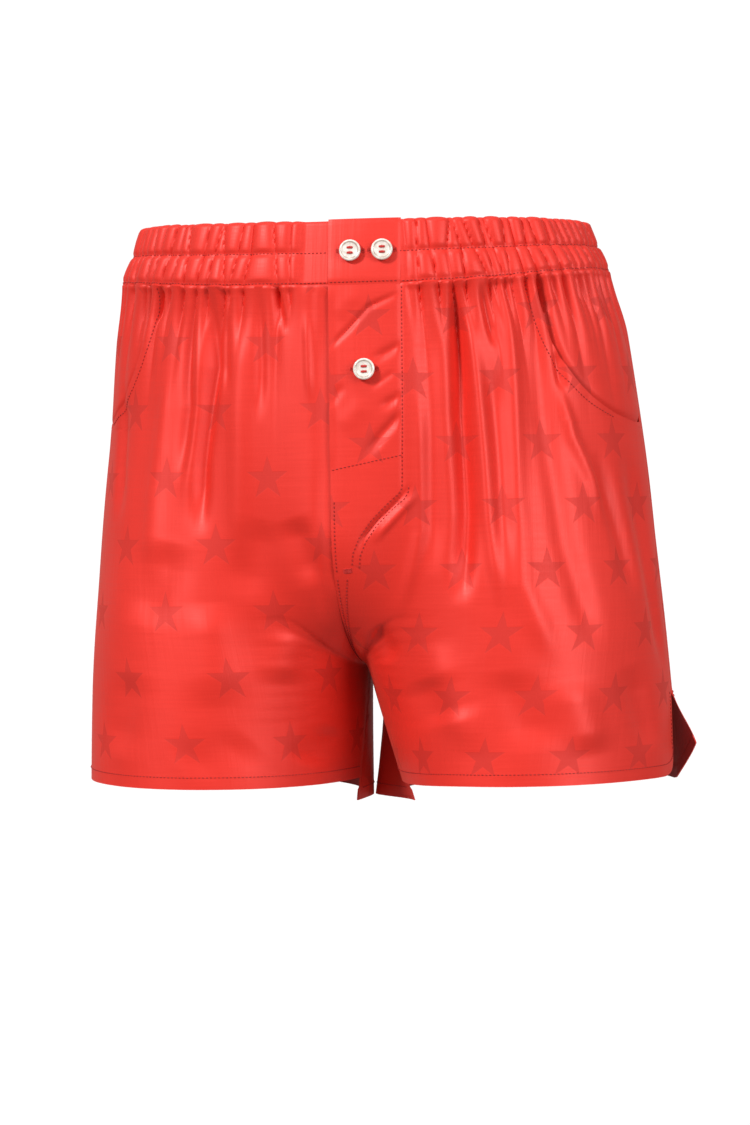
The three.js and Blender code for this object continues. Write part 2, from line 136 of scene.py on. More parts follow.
# ---------------------------------------------------------------- the cloth's middle surface
def flare(drop):
    full = 1 - math.exp(-(FRONT_LENGTH - BAND_HEIGHT) / FLARE_REACH)
    return (1 - np.exp(-np.maximum(drop - BAND_HEIGHT, 0) / FLARE_REACH)) / full


def half_width(drop):
    """The CAD's half width, drawn in a little where the elastic gathers the cloth."""
    gathered = DRAWN_IN * (1 - smooth(drop / DRAWN_REACH))
    band = BAND_FLARE * np.minimum(drop / BAND_HEIGHT, 1)
    return WAIST_HALF_WIDTH + band + HIP_FLARE * flare(drop) - gathered


def rise(side, face, share, drop):
    """The waist dips at the front, and its seam is drawn up again at the sides."""
    round_side = smooth(share / 0.9)
    at_centre = 0.0 if face == FRONT else BACK_RISE
    waist = (at_centre + (SIDE_RISE[side] - at_centre) * round_side) * (1 - smooth((drop - 20) / 230))
    seam = SEAM_RISE[side] * smooth((share - 0.2) / 0.7)
    seam = seam * smooth(drop / 45) * (1 - smooth((drop - 45) / 100))
    hem_spread = 0.25 if side == LEFT else 0.8
    hem = HEM_RISE[side] * smooth((drop - 310) / 60) * smooth((share - 0.05) / hem_spread)
    return waist + seam + hem


def half_depth(drop):
    return WAIST_HALF_DEPTH + BAND_FLARE / 2 * np.minimum(drop / BAND_HEIGHT, 1) + DEPTH_FLARE * flare(drop)


def leg_share(share, drop):
    """0 on the hips and 1 on a leg; away from the crotch's seam the change is spread over more cloth."""
    spread = 34 * smooth(share / 0.16)
    at_seam = 0
    for shift in SPREAD_STEPS:
        t = np.clip((drop + spread * shift - FORK_DROP) / (CROTCH_DROP - FORK_DROP), 0, 1)
        at_seam = at_seam + (1 - np.sqrt(1 - t * t)) / len(SPREAD_STEPS)
    at_thigh = smooth((drop - THIGH_DROP) / (CROTCH_DROP + 20 - THIGH_DROP))
    k = smooth(share / 0.42)
    return at_seam * (1 - k) + at_thigh * k


def inner_edge(drop):
    t = np.maximum(drop - CROTCH_DROP, 0) / (FRONT_LENGTH - CROTCH_DROP)
    return SEAM_GAP + (LEG_GAP - 0.3) * t


def middle(side, face, share, drop):
    """Points on the surface that the cloth follows: an oval round the hips that divides into two legs."""
    a, b = half_width(drop), half_depth(drop)
    turn = share * math.pi / 2
    inner = inner_edge(drop)
    leg_turn = math.pi * (share * (1 + LEG_BIAS * (1 - share)) - 0.5)
    leg_x = (a + inner) / 2 + (a - inner) / 2 * np.sin(leg_turn)
    k = leg_share(share, drop)
    x = (1 - k) * a * np.sin(turn) + k * leg_x
    y = (1 - k) * b * np.cos(turn) + k * LEG_HALF_DEPTH * np.cos(leg_turn)
    return np.stack([side * x, face * y, rise(side, face, share, drop) - drop + 0 * x], -1)


def out_of_cloth(side, face, share, drop):
    """Unit vectors out of the middle surface; they stay in their own plane at the seams."""
    aside, fall = 0.004, 0.4
    ahead, behind = np.clip(share + aside, 0, 1), np.clip(share - aside, 0, 1)
    along = middle(side, face, ahead, drop) - middle(side, face, behind, drop)
    down = middle(side, face, share, drop + fall) - middle(side, face, share, drop - fall)
    n = np.cross(along, down) * side * face
    at_centre = share < 1e-6
    seam = (share > 1 - 1e-6) | (at_centre & (drop >= CROTCH_DROP))
    n[..., 1] = np.where(seam, 0, n[..., 1])
    n[..., 0] = np.where(at_centre & (drop < CROTCH_DROP), 0, n[..., 0])
    return n / np.linalg.norm(n, axis=-1, keepdims=True)


def share_at(x, drop):
    return np.arcsin(np.clip(x / half_width(drop), 0, 1)) * 2 / math.pi


# Girth: millimetres round the waistband from the centre front to the centre back.
_table_share = np.linspace(0, 1, 400)
_table_points = middle(1, 1, _table_share, np.full(400, BAND_HEIGHT))
_table_arc = lengths_along(_table_points)
QUARTER = _table_arc[-1]


def girth(face, share):
    arc = np.interp(share, _table_share, _table_arc)
    return arc if face == FRONT else 2 * QUARTER - arc


# ---------------------------------------------------------------- gathers under the elastic
SLANT = 1.6  # millimetres of slant for each step in the crease lists


def make_creases(seen):
    """Creases from the fly to the centre back, each with its slants, strength and reach below the band."""
    rows = [(place, SLANT * above, SLANT * below, *rest) for place, above, below, *rest in seen]
    at = seen[-1][0] + 6
    while at < 2 * QUARTER - 3:
        width = rng.uniform(5.5, 11.0)
        place = at + rng.uniform(0.3, 0.7) * width
        above, below = rng.uniform(-0.42, 0.42, 2) * width
        rows.append((place, above, below, rng.uniform(0.35, 1.0), rng.uniform(0.0, 1.0) ** 2.2))
        at += width
    return np.array(rows)


# At the front the creases are placed: (girth, slant above, slant below, strength, reach below the band).
CREASES = {
    LEFT: make_creases(
        [
            (53, 0, -1, 0.5, 0.1), (60, 1, -1, 0.8, 0.3), (69, 0, 1, 0.7, 0.2), (80, 3, 0, 1.0, 0.8),
            (90, -2, -1, 0.8, 0.3), (99, -3, 3, 1.0, 0.6), (107, -1, 1, 0.7, 0.2), (113, -2, 1, 0.9, 0.3),
            (121, 1, -1, 0.6, 0.5), (129, 0, 0, 1.0, 0.3), (137, 1, 1, 1.0, 0.6), (146, -1, 2, 0.8, 0.2),
            (157, 0, 1, 1.0, 0.4), (166, -1, 2, 0.7, 0.2), (173, -2, 1, 0.9, 0.3), (180, -2, 1, 0.8, 0.5),
            (188, -2, 2, 0.9, 0.2), (197, -2, 1, 0.7, 0.4), (205, 1, 2, 0.9, 0.2), (214, -2, 0, 0.8, 0.3),
        ]
    ),
    RIGHT: make_creases(
        [
            (9, -1, 0, 0.5, 0.2), (27, 0, -1, 0.4, 0.1), (37, 2, -2, 0.7, 0.7), (55, 0, 2, 0.6, 0.2),
            (65, -1, 2, 0.5, 0.1), (76, 2, -2, 0.9, 0.8), (84, -2, 1, 0.6, 0.2), (93, -1, 1, 0.6, 0.4),
            (107, 2, -1, 0.8, 0.3), (116, 0, 1, 0.5, 0.2), (126, -1, 1, 0.8, 0.6), (137, 0, 1, 0.9, 0.2),
            (147, 1, -1, 0.8, 0.3), (158, 0, 2, 0.8, 0.4), (167, 1, -1, 0.7, 0.2), (176, 0, 1, 0.8, 0.3),
            (187, 1, 0, 0.8, 0.2), (196, -1, 1, 0.7, 0.5), (206, 1, 1, 0.9, 0.2), (215, 0, 1, 0.7, 0.3),
        ]
    ),
}  # fmt: skip


def crease_places(side, drop):
    base, up, down, _, _ = CREASES[side].T
    above = np.clip((20 - drop) / 20, 0, 1)[..., None]
    below = np.clip((drop - 20) / 21, 0, 1)[..., None]
    return base + up * above + down * below


def lobes(side, at, drop):
    """0 in each crease and 1 on the crown between two of them, with how high and wide that crown is."""
    places = crease_places(side, drop)
    edges = np.concatenate([places[..., :1] - 14, places, places[..., -1:] + 14], -1)
    index = np.clip((at[..., None] >= edges).sum(-1) - 1, 0, edges.shape[-1] - 2)
    left = np.take_along_axis(edges, index[..., None], -1)[..., 0]
    right = np.take_along_axis(edges, index[..., None] + 1, -1)[..., 0]
    t = np.clip((at - left) / (right - left), 0, 1)
    strength = np.concatenate([[0.3], CREASES[side][:, 3]])
    return np.sqrt(4 * t * (1 - t)), strength[index], right - left


def band_gathers(side, at, drop):
    crown, strength, width = lobes(side, at, drop)
    start = 16.0 if side == RIGHT else FLAP_WIDTH + 1
    flat = smooth((at - start) / 10) * smooth((2 * QUARTER - at) / 4)
    pinch = 1 - 0.4 * bell((drop - 20) / 2.0) - 0.35 * bell((drop - 39.3) / 1.8)
    return crown * (0.3 + 0.7 * strength) * np.minimum(width, 12) * 0.36 * flat * pinch


def panel_gathers(side, face, share, drop):
    """The creases run on below the band, wider and shallower, and die out one by one."""
    at = girth(face, share)
    rows = CREASES[side]
    places = crease_places(side, np.minimum(drop, BAND_HEIGHT))
    below = np.maximum(drop - BAND_HEIGHT, 0)[..., None]
    reach = 12 + 95 * rows[:, 4]
    width = 1.9 + below * 0.05
    depth = (1.4 + 2.6 * rows[:, 3]) * np.exp(-np.square(below / reach))
    creased = -(depth * np.exp(-np.abs((at[..., None] - places) / width) ** 1.4)).sum(-1)
    crowned = band_gathers(side, at, np.minimum(drop, BAND_HEIGHT)) * np.exp(-below[..., 0] / 9)
    return creased * smooth(below[..., 0] / 4) + crowned


# ---------------------------------------------------------------- long folds and wrinkles
# Each is a line of (girth, drop) points, a half width, a depth (below zero for a ridge) and the cloth's
# falling side: above 1 the fold is broader towards the side seam.
FOLDS = {
    (LEFT, FRONT): [
        ([(82, 41), (79, 86), (77, 126), (78, 190), (75, 250)], 6.0, 6.5, 0.8),
        ([(84, 50), (86, 95), (89, 191), (94, 256)], 3.4, -2.6, 1.5),
        ([(98, 43), (99, 68), (101, 86)], 2.6, 3.0, 1.0),
        ([(112, 46), (110, 86), (104, 178), (104, 235), (118, 292)], 6.0, -2.8, 0.9),
        ([(96, 90), (98, 160), (97, 230)], 5.5, 2.2, 1.0),
        ([(139, 41), (140, 66)], 2.8, 2.6, 1.0),
        ([(128, 60), (126, 130), (128, 210), (138, 280)], 7.0, 2.4, 1.0),
        ([(140, 88), (141, 114)], 2.6, 1.8, 1.0),
        ([(138, 106), (143, 142), (152, 168), (158, 200)], 4.0, -2.4, 0.8),
        ([(158, 150), (166, 200), (172, 250)], 6.5, 2.4, 0.9),
        ([(60, 60), (59, 150), (60, 232)], 6.5, 2.2, 1.0),
        ([(52, 110), (52, 200), (40, 262)], 4.0, -1.4, 1.0),
        ([(56, 296), (70, 326)], 14.0, 2.0, 1.0),
        ([(94, 290), (106, 345)], 10.0, 2.4, 1.0),
        ([(158, 290), (172, 350)], 10.0, 2.6, 1.0),
        ([(63, 270), (78, 350)], 9.0, -2.0, 1.0),
        ([(122, 296), (132, 350)], 10.0, -2.6, 1.0),
        ([(186, 150), (192, 220), (196, 300)], 8.0, 2.4, 1.0),
        ([(24, 262), (40, 286)], 6.0, 2.2, 1.0),
        ([(46, 171), (35, 184), (26, 193), (18, 204), (14, 216)], 1.5, 1.5, 1.0),
        ([(50, 176), (40, 187), (31, 197), (23, 208)], 2.2, -1.4, 1.0),
    ],
    (RIGHT, FRONT): [
        ([(82, 41), (75, 92), (77, 118), (80, 156), (81, 205)], 4.6, 4.2, 1.2),
        ([(88, 60), (84, 120), (90, 190)], 4.0, -1.6, 1.2),
        ([(36, 36), (33, 50), (28, 72)], 2.6, 2.4, 1.0),
        ([(14, 56), (12, 119)], 2.2, -1.4, 1.0),
        ([(5, 60), (4, 150), (7, 210), (12, 262)], 6.5, 2.8, 0.7),
        ([(24, 190), (12, 236)], 10.0, 3.0, 1.0),
        ([(46, 42), (43, 90), (43, 130)], 3.6, 1.9, 1.0),
        ([(56, 60), (56, 150), (60, 230)], 7.0, -2.0, 1.0),
        ([(69, 56), (64, 112)], 3.0, 1.8, 1.0),
        ([(126, 41), (125, 66)], 3.2, 2.8, 1.0),
        ([(98, 52), (91, 117), (94, 172)], 4.5, 2.2, 1.0),
        ([(108, 90), (112, 170), (108, 240)], 7.0, -1.8, 1.0),
        ([(160, 100), (152, 154), (143, 196)], 6.0, 2.6, 1.0),
        ([(98, 205), (114, 262)], 13.0, 2.4, 1.0),
        ([(44, 190), (58, 246)], 12.0, 1.8, 1.0),
        ([(118, 290), (126, 350)], 12.0, 2.4, 1.0),
        ([(60, 336), (90, 356)], 13.0, 1.4, 1.0),
        ([(78, 244), (75, 316)], 11.0, -2.6, 1.0),
        ([(40, 262), (50, 300)], 9.0, -2.0, 1.0),
        ([(22, 330), (36, 356)], 9.0, 2.4, 1.0),
    ],
    (LEFT, BACK): [
        ([(30, 60), (34, 200), (40, 300)], 9.0, 4.2, 1.0),
        ([(62, 50), (66, 150), (72, 250)], 7.0, 3.6, 0.8),
        ([(95, 60), (102, 220), (106, 330)], 9.0, 4.0, 1.2),
        ([(132, 48), (138, 160), (146, 280)], 7.0, 3.6, 1.0),
        ([(168, 60), (172, 200), (178, 320)], 9.0, 3.6, 1.0),
        ([(80, 280), (86, 350)], 14.0, -2.6, 1.0),
    ],
    (RIGHT, BACK): [
        ([(24, 55), (30, 190), (34, 290)], 8.0, 4.0, 1.0),
        ([(56, 60), (60, 180), (68, 300)], 9.0, 4.2, 1.2),
        ([(90, 48), (94, 130), (98, 220)], 6.5, 3.6, 0.9),
        ([(124, 60), (132, 210), (140, 330)], 9.0, 4.0, 1.0),
        ([(160, 50), (166, 150), (170, 250)], 7.5, 3.6, 1.0),
        ([(110, 290), (116, 352)], 14.0, -2.6, 1.0),
    ],
}

FOLD_STRENGTH = 1.3

# The buttoned placket pulls into slanting wrinkles between its two rows of buttons.
PLACKET_WRINKLES = [
    ([(-3, 84), (13.5, 68), (25, 55.5), (33, 52), (52, 44)], 1.8, 1.7, 0.6),
    ([(28, 90), (52, 77)], 2.7, 1.7, 1.0),
    ([(26, 108), (44, 96)], 1.8, 0.9, 1.0),
    ([(32, 121), (54, 108)], 2.9, 1.7, 1.0),
    ([(22, 152), (33, 138), (52, 118)], 3.4, 2.2, 0.8),
    ([(4, 62), (20, 44)], 6.0, -0.6, 1.0),
    ([(6, 134), (26, 114)], 7.0, -0.8, 1.0),
    ([(-2, 120), (10, 104)], 3.0, 0.9, 1.0),
]


def along_line(line, width, lean, at, drop):
    """How strongly a fold shows at each place, from 0 to 1."""
    points = np.array(line, float)
    length = lengths_along(points)
    best = np.full(np.shape(at), 1e9)
    sign = np.zeros(np.shape(at))
    gone = np.zeros(np.shape(at))
    for i in range(len(points) - 1):
        a, d = points[i], points[i + 1] - points[i]
        t = np.clip(((at - a[0]) * d[0] + (drop - a[1]) * d[1]) / (d @ d), 0, 1)
        dx, dy = at - a[0] - t * d[0], drop - a[1] - t * d[1]
        far = np.hypot(dx, dy)
        near = far < best
        best = np.where(near, far, best)
        sign = np.where(near, dx * d[1] - dy * d[0], sign)
        gone = np.where(near, length[i] + t * (length[i + 1] - length[i]), gone)
    fade = min(length[-1] * 0.35, 38)
    ends = smooth(gone / fade + 0.15) * smooth((length[-1] - gone) / fade)
    wide = width * np.where(sign > 0, lean, 1.0)
    return bell(best / wide) * ends


WAVES = rng.uniform(-1, 1, (4, 22, 5))[..., :4]


def unrest(side, face, at, drop):
    """Low smooth unevenness, the same at every run."""
    rows = WAVES[(side > 0) * 2 + (face > 0)]
    total = 0
    for i, (kx, ky, phase, size) in enumerate(rows):
        scale = 0.028 + 0.006 * i
        wave = np.sin(scale * (1.4 * kx + 0.7) * at + scale * 0.55 * ky * drop + 9.4 * phase)
        total = total + (0.35 + 0.3 * size) * wave / (1 + 0.22 * i)
    return total


def relief(side, face, share, drop):
    """How far the cloth stands out of its middle surface."""
    share = np.asarray(share, float)
    drop = np.asarray(drop, float) + 0 * share
    at = girth(FRONT, share)
    x = np.abs(middle(side, face, share, drop)[..., 0])
    seam_width = 0.06 + 0.04 * smooth((drop - CROTCH_DROP + 30) / 60)
    from_centre = smooth(share / seam_width)
    from_side = smooth((1 - share) / 0.07)
    gather = panel_gathers(side, face, share, drop)
    if face == FRONT:
        start = FLAP_WIDTH + 1 if side == LEFT else 6
        gather = gather * smooth((at - start) / 8)
    folded = 0.5 * unrest(side, face, at, drop) * smooth((drop - 55) / 120)
    for line, width, depth, lean in FOLDS[side, face]:
        folded -= FOLD_STRENGTH * depth * along_line(line, width, lean, at, drop)
    height = gather * np.where(share > 0.5, 1, from_centre) + folded * from_centre * from_side
    if (side, face) == (LEFT, FRONT):
        height = height * (1 - smooth((FLAP_WIDTH + 2 - x) / 6) * smooth((FLAP_LENGTH + 24 - drop) / 44))
        for line, width, depth, lean in PLACKET_WRINKLES:
            height -= depth * along_line(line, width, lean, x, drop) * smooth((FLAP_WIDTH + 1 - x) / 6)
        below_tab = smooth((drop - 40) / 10)
        height += 0.9 * smooth((4 - x) / 4) * smooth((FLAP_LENGTH + 6 - drop) / 20) * below_tab
        height -= 0.7 * bell((x - FLAP_WIDTH) / 1.3) * smooth((FLAP_LENGTH + 20 - drop) / 12)
    if (side, face) == (RIGHT, FRONT):
        under_flap = smooth((FLY_LENGTH + 14 - drop) / 16) * smooth((drop - 38) / 12)
        height -= 1.5 * smooth((9 - x) / 9) * under_flap
    # Just below the band the cloth is level with the casing it's sewn into.
    height += 1.3 * smooth((drop - BAND_HEIGHT + 2.5) / 2.5) * bell(np.maximum(drop - BAND_HEIGHT, 0) / 15)
    # A seam is drawn in a little between its two pressed edges.
    below_band = smooth((drop - BAND_HEIGHT) / 8)
    height -= 0.8 * bell((1 - share) * QUARTER / 1.6) * below_band * smooth((VENT_DROP + 2 - drop) / 4)
    if face == BACK:
        height -= 0.8 * bell(share * QUARTER / 1.6) * below_band
    return height


def knots(share, places, values):
    """A smooth line through a few values."""
    total = np.full_like(share, values[0], dtype=float)
    for a, b, low, high in zip(places, places[1:], values, values[1:]):
        total += (high - low) * smooth((share - a) / (b - a))
    return total


# How far the cloth at the inner leg swings sideways at the hem: (shares, millimetres towards the left).
INNER_SWING = {
    (LEFT, FRONT): ((0, 0.06, 0.34), (15.5, 15.5, 0)),
    (LEFT, BACK): ((0, 0.065, 0.13, 0.28), (15.5, -21.0, -17.0, 0)),
    (RIGHT, FRONT): ((0, 0.05, 0.20), (1.0, -1.0, 0)),
    (RIGHT, BACK): ((0, 0.065, 0.13, 0.28), (1.0, 9.0, 7.0, 0)),
}


def carry(side, face, share, drop):
    """How the hem's free corners swing in the cloth's own plane and out of it."""
    share = np.asarray(share, float)
    drop = np.asarray(drop, float) + 0 * share
    move = np.zeros(share.shape + (3,))
    below = np.clip((drop - 286) / 82, 0, 1.25)
    low = np.sqrt(below * below + 0.03) - 0.173
    if side == RIGHT:
        move[..., 0] += 7.8 * smooth((drop - 25) / 125) * smooth((share - 0.35) / 0.6)
    else:
        outward = 2.6 * smooth((drop - 30) / 50) + 4.4 * smooth((drop - 200) / 160)
        move[..., 0] += outward * smooth((share - 0.35) / 0.6)
    move[..., 0] += low * knots(share, *INNER_SWING[side, face])
    vent = np.clip((drop - VENT_DROP + 6) / 50, 0, 1.2)
    corner = smooth((share - 0.86) / 0.14)
    if face == BACK:
        swing, lift = (15.0, 15.0) if side == LEFT else (3.0, 3.0)
        move[..., 0] += side * swing * vent**1.2 * corner
        move[..., 1] -= 3.0 * vent * corner
        move[..., 2] += lift * vent**1.6 * corner
    else:
        move[..., 0] -= side * 2.0 * vent * corner
        move[..., 1] -= 1.0 * vent * corner
    return move


def on_cloth(side, face, share, drop, offset=0.0):
    """Points and outward directions on the shaped cloth."""
    share = np.asarray(share, float)
    drop = np.asarray(drop, float) + 0 * share
    out = out_of_cloth(side, face, share, drop)
    lift = relief(side, face, share, drop) + offset
    return middle(side, face, share, drop) + out * lift[..., None] + carry(side, face, share, drop), out


# ---------------------------------------------------------------- meshes
EDGE_ANGLE = math.radians(58)  # a cut edge is sharper than any fold


def mesh_object(name, verts, faces, uvs=None, face_materials=None, materials=()):
    data = bpy.data.meshes.new(name)
    verts = np.asarray(verts, float) * MM
    data.from_pydata(verts.tolist(), [], [list(f) for f in faces])
    for m in materials:
        data.materials.append(m)
    if uvs is not None:
        layer = data.uv_layers.new(name="cloth")
        index = np.zeros(len(data.loops), int)
        data.loops.foreach_get("vertex_index", index)
        layer.data.foreach_set("uv", (np.asarray(uvs)[index] * MM).astype(np.float32).ravel())
    if face_materials is not None:
        data.polygons.foreach_set("material_index", np.asarray(face_materials, np.int32))
    data.polygons.foreach_set("use_smooth", np.ones(len(data.polygons), bool))
    data.update()
    obj = bpy.data.objects.new(name, data)
    bpy.context.scene.collection.objects.link(obj)
    return obj


def cloth_mesh(name, points, uv, outward, thickness, materials, keep=None):
    """A sheet of cloth with two faces and a rim, from a grid of points on its middle."""
    rows, cols = points.shape[:2]
    across = np.gradient(points, axis=1)
    down = np.gradient(points, axis=0)
    n = np.cross(across, down)
    n /= np.maximum(np.linalg.norm(n, axis=-1, keepdims=True), 1e-9)
    sign = 1.0 if np.sum(n[: rows // 2] * outward[: rows // 2]) > 0 else -1.0
    n *= sign
    inner_share = thickness / 2 if np.isscalar(thickness) else thickness[..., None] - CLOTH / 2
    outer_share = thickness / 2 if np.isscalar(thickness) else CLOTH / 2
    outer, inner = points + n * outer_share, points - n * inner_share
    index = np.arange(rows * cols).reshape(rows, cols)
    quads = np.stack([index[:-1, :-1], index[:-1, 1:], index[1:, 1:], index[1:, :-1]], -1).reshape(-1, 4)
    if keep is not None:
        quads = quads[keep.ravel()]
    if sign < 0:
        quads = quads[:, ::-1]
    total = rows * cols
    starts = quads.ravel()
    ends = np.roll(quads, -1, axis=1).ravel()
    rim = ~np.isin(starts * total + ends, ends * total + starts)
    a, b = starts[rim], ends[rim]
    rim_quads = np.stack([b, a, a + total, b + total], -1)
    faces = np.concatenate([quads, quads[:, ::-1] + total, rim_quads])
    kinds = np.concatenate([np.zeros(len(quads)), np.ones(len(quads)), np.zeros(len(rim_quads))])
    verts = np.concatenate([outer.reshape(-1, 3), inner.reshape(-1, 3)])
    uvs = np.concatenate([uv.reshape(-1, 2)] * 2)
    used = np.unique(faces)
    renumber = np.full(len(verts), -1)
    renumber[used] = np.arange(len(used))
    obj = mesh_object(name, verts[used], renumber[faces].tolist(), uvs[used], kinds, materials)
    obj.data.set_sharp_from_angle(angle=EDGE_ANGLE)
    return obj


def riding(obj, body):
    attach(obj, body)
    return obj


def in_place_of(obj, node, body="shorts"):
    """The object stands for a CAD node and moves with a body."""
    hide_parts(node)
    return riding(obj, body)


def hem_drop(face, share):
    corner = np.maximum((share - 1 + HEM_CORNER_WIDTH) / HEM_CORNER_WIDTH, 0)
    length = FRONT_LENGTH if face == FRONT else BACK_LENGTH + BACK_INNER_DIP * (1 - share) ** 3
    return length - HEM_CORNER_RISE * corner**2


def vent_share(drop):
    t = np.maximum(drop - VENT_DROP, 0) / (FRONT_LENGTH - VENT_DROP)
    return VENT_HALF_GAP / (math.pi * (1 - LEG_BIAS) * LEG_HALF_DEPTH) * t


def pocket_mouth(drop):
    """The x of the pocket's mouth at a drop."""
    end_x = half_width(POCKET_END_DROP)
    t = np.linspace(0, 1, 60)
    corners = [
        (POCKET_TOP_X, BAND_HEIGHT),
        (POCKET_TOP_X + 10, POCKET_END_DROP - 32),
        (end_x - 26, POCKET_END_DROP - 12),
        (end_x - 2, POCKET_END_DROP),
    ]
    weights = [(1 - t) ** 3, 3 * (1 - t) ** 2 * t, 3 * (1 - t) * t * t, t**3]
    xs = sum(w * c[0] for w, c in zip(weights, corners))
    drops = sum(w * c[1] for w, c in zip(weights, corners))
    return np.interp(drop, drops, xs)


def fly_width(drop):
    t = np.clip((drop - FLAP_LENGTH) / (FLY_LENGTH - FLAP_LENGTH), 0, 1)
    return FLY_END_WIDTH + (FLAP_WIDTH - FLY_END_WIDTH) * np.sqrt(1 - t * t)


def cloth_uv(points, drop, column):
    """Lengths along the cloth from the centre line, set by one column, and down from the waist."""
    step = np.linalg.norm(np.diff(points, axis=1), axis=-1)
    u = np.concatenate([np.zeros((len(points), 1)), np.cumsum(step, 1)], 1)
    u += (np.abs(points[:, column, 0]) - u[:, column])[:, None]
    return np.stack([u, -drop], -1)


FINE = 1.0


def count(n):
    return max(int(n * FINE), 4)


# ---------------------------------------------------------------- materials
class Shading:
    """Short names for the nodes of one node tree."""

    def __init__(self, tree):
        self.nodes, self.links = tree.nodes, tree.links

    def add(self, kind, **settings):
        node = self.nodes.new("ShaderNode" + kind)
        for key, value in settings.items():
            setattr(node, key, value)
        return node

    def feed(self, socket, value):
        if isinstance(value, bpy.types.NodeSocket):
            self.links.new(value, socket)
        else:
            socket.default_value = value

    def feed_all(self, node, values):
        for key, value in values.items():
            self.feed(node.inputs[key], value)

    def maths(self, operation, *values):
        node = self.add("Math", operation=operation)
        for socket, value in zip(node.inputs, values):
            self.feed(socket, value)
        return node.outputs[0]

    def plus(self, a, b):
        return self.maths("ADD", a, b)

    def minus(self, a, b):
        return self.maths("SUBTRACT", a, b)

    def times(self, a, b):
        return self.maths("MULTIPLY", a, b)

    def between(self, value, low, high, to_low=0.0, to_high=1.0):
        node = self.add("MapRange", interpolation_type="SMOOTHSTEP")
        ends = {"From Min": low, "From Max": high, "To Min": to_low, "To Max": to_high}
        self.feed_all(node, {"Value": value, **ends})
        return node.outputs[0]

    def mixed(self, factor, first, second):
        node = self.add("Mix", data_type="RGBA")
        self.links.new(factor, node.inputs["Factor"])
        for key, value in (("A", first), ("B", second)):
            socket = [s for s in node.inputs if s.name == key and s.type == "RGBA"][0]
            self.feed(socket, (*value, 1) if isinstance(value, tuple) else value)
        return [s for s in node.outputs if s.type == "RGBA"][0]

    def noise(self, vector, scale, detail=2.0, roughness=0.5):
        """Noise at one scale, or stretched by three."""
        if isinstance(scale, tuple):
            stretched = self.add("Mapping")
            self.feed_all(stretched, {"Scale": scale, "Vector": vector})
            vector, scale = stretched.outputs["Vector"], 1.0
        node = self.add("TexNoise")
        self.feed_all(node, {"Scale": scale, "Detail": detail, "Roughness": roughness, "Vector": vector})
        return node.outputs["Fac"]

    def split(self, vector):
        node = self.add("SeparateXYZ")
        self.links.new(vector, node.inputs[0])
        return node.outputs

    def place(self, kind="Object"):
        return self.add("TexCoord").outputs[kind]

    def cloth_place(self):
        return self.add("UVMap", uv_map="cloth").outputs["UV"]


class Surface(Shading):
    """A new material and its shader."""

    def __init__(self, name):
        self.material = bpy.data.materials.new(name)
        self.material.use_nodes = True
        super().__init__(self.material.node_tree)
        self.shader = self.nodes["Principled BSDF"]

    def shade(self, **values):
        """Each shader input by its name in lower case, with _ for a space."""
        for key, value in values.items():
            socket = [s for s in self.shader.inputs if s.name.lower().replace(" ", "_") == key][0]
            self.feed(socket, value)
        return self.material

    def bump(self, height, strength=1.0, distance=1.0):
        node = self.add("Bump")
        self.feed_all(node, {"Strength": strength, "Distance": distance, "Height": height})
        self.shade(normal=node.outputs["Normal"])


STAR_RADIUS = 0.0148
STAR_WAIST = 0.382  # a five-pointed star's inner corners, as a share of its radius


def star_mask(s, uv, pitch, row_pitch, shift):
    """1 inside upright five-pointed stars on a half-drop lattice, in cloth coordinates."""
    across, down, _ = s.split(uv)
    v = s.plus(down, shift[1])
    row = s.maths("FLOOR", s.maths("DIVIDE", v, row_pitch))
    half_drop = s.times(s.maths("FLOORED_MODULO", row, 2.0), pitch / 2)
    u = s.plus(s.plus(across, shift[0]), half_drop)
    x = s.minus(s.maths("FLOORED_MODULO", u, pitch), pitch / 2)
    y = s.minus(s.maths("FLOORED_MODULO", v, row_pitch), row_pitch / 2)
    fifth = 2 * math.pi / 5
    turned = s.plus(s.maths("ARCTAN2", x, y), fifth / 2)
    folded = s.maths("ABSOLUTE", s.minus(s.maths("FLOORED_MODULO", turned, fifth), fifth / 2))
    radius = s.maths("SQRT", s.plus(s.times(x, x), s.times(y, y)))
    along, aside = s.times(radius, s.maths("COSINE", folded)), s.times(radius, s.maths("SINE", folded))
    inner = STAR_RADIUS * STAR_WAIST
    ex, ey = inner * math.cos(fifth / 2) - STAR_RADIUS, inner * math.sin(fifth / 2)
    length = math.hypot(ex, ey)
    edge = s.minus(s.times(aside, -ex / length), s.times(s.minus(along, STAR_RADIUS), -ey / length))
    return s.between(edge, 0.0003, -0.0003)


def satin_height(s, uv, mask):
    """Fine crosswise slubs, warp lines, soft crush and silky streaks, with the stars a little sunk."""
    layers = (
        # stretch of the noise, its detail and roughness, and its height in metres
        ((60, 1500, 1), 2.0, 0.5, 0.00004),
        ((1300, 45, 1), 1.0, 0.5, 0.00004),
        ((34, 26, 1), 2.0, 0.45, 0.00025),
        ((170, 7, 1), 3.0, 0.6, 0.00022),
    )
    height = 0.0
    for stretch, detail, roughness, size in layers:
        height = s.plus(height, s.times(s.noise(uv, stretch, detail, roughness), size))
    return height if mask is None else s.minus(height, s.times(mask, 0.00003))


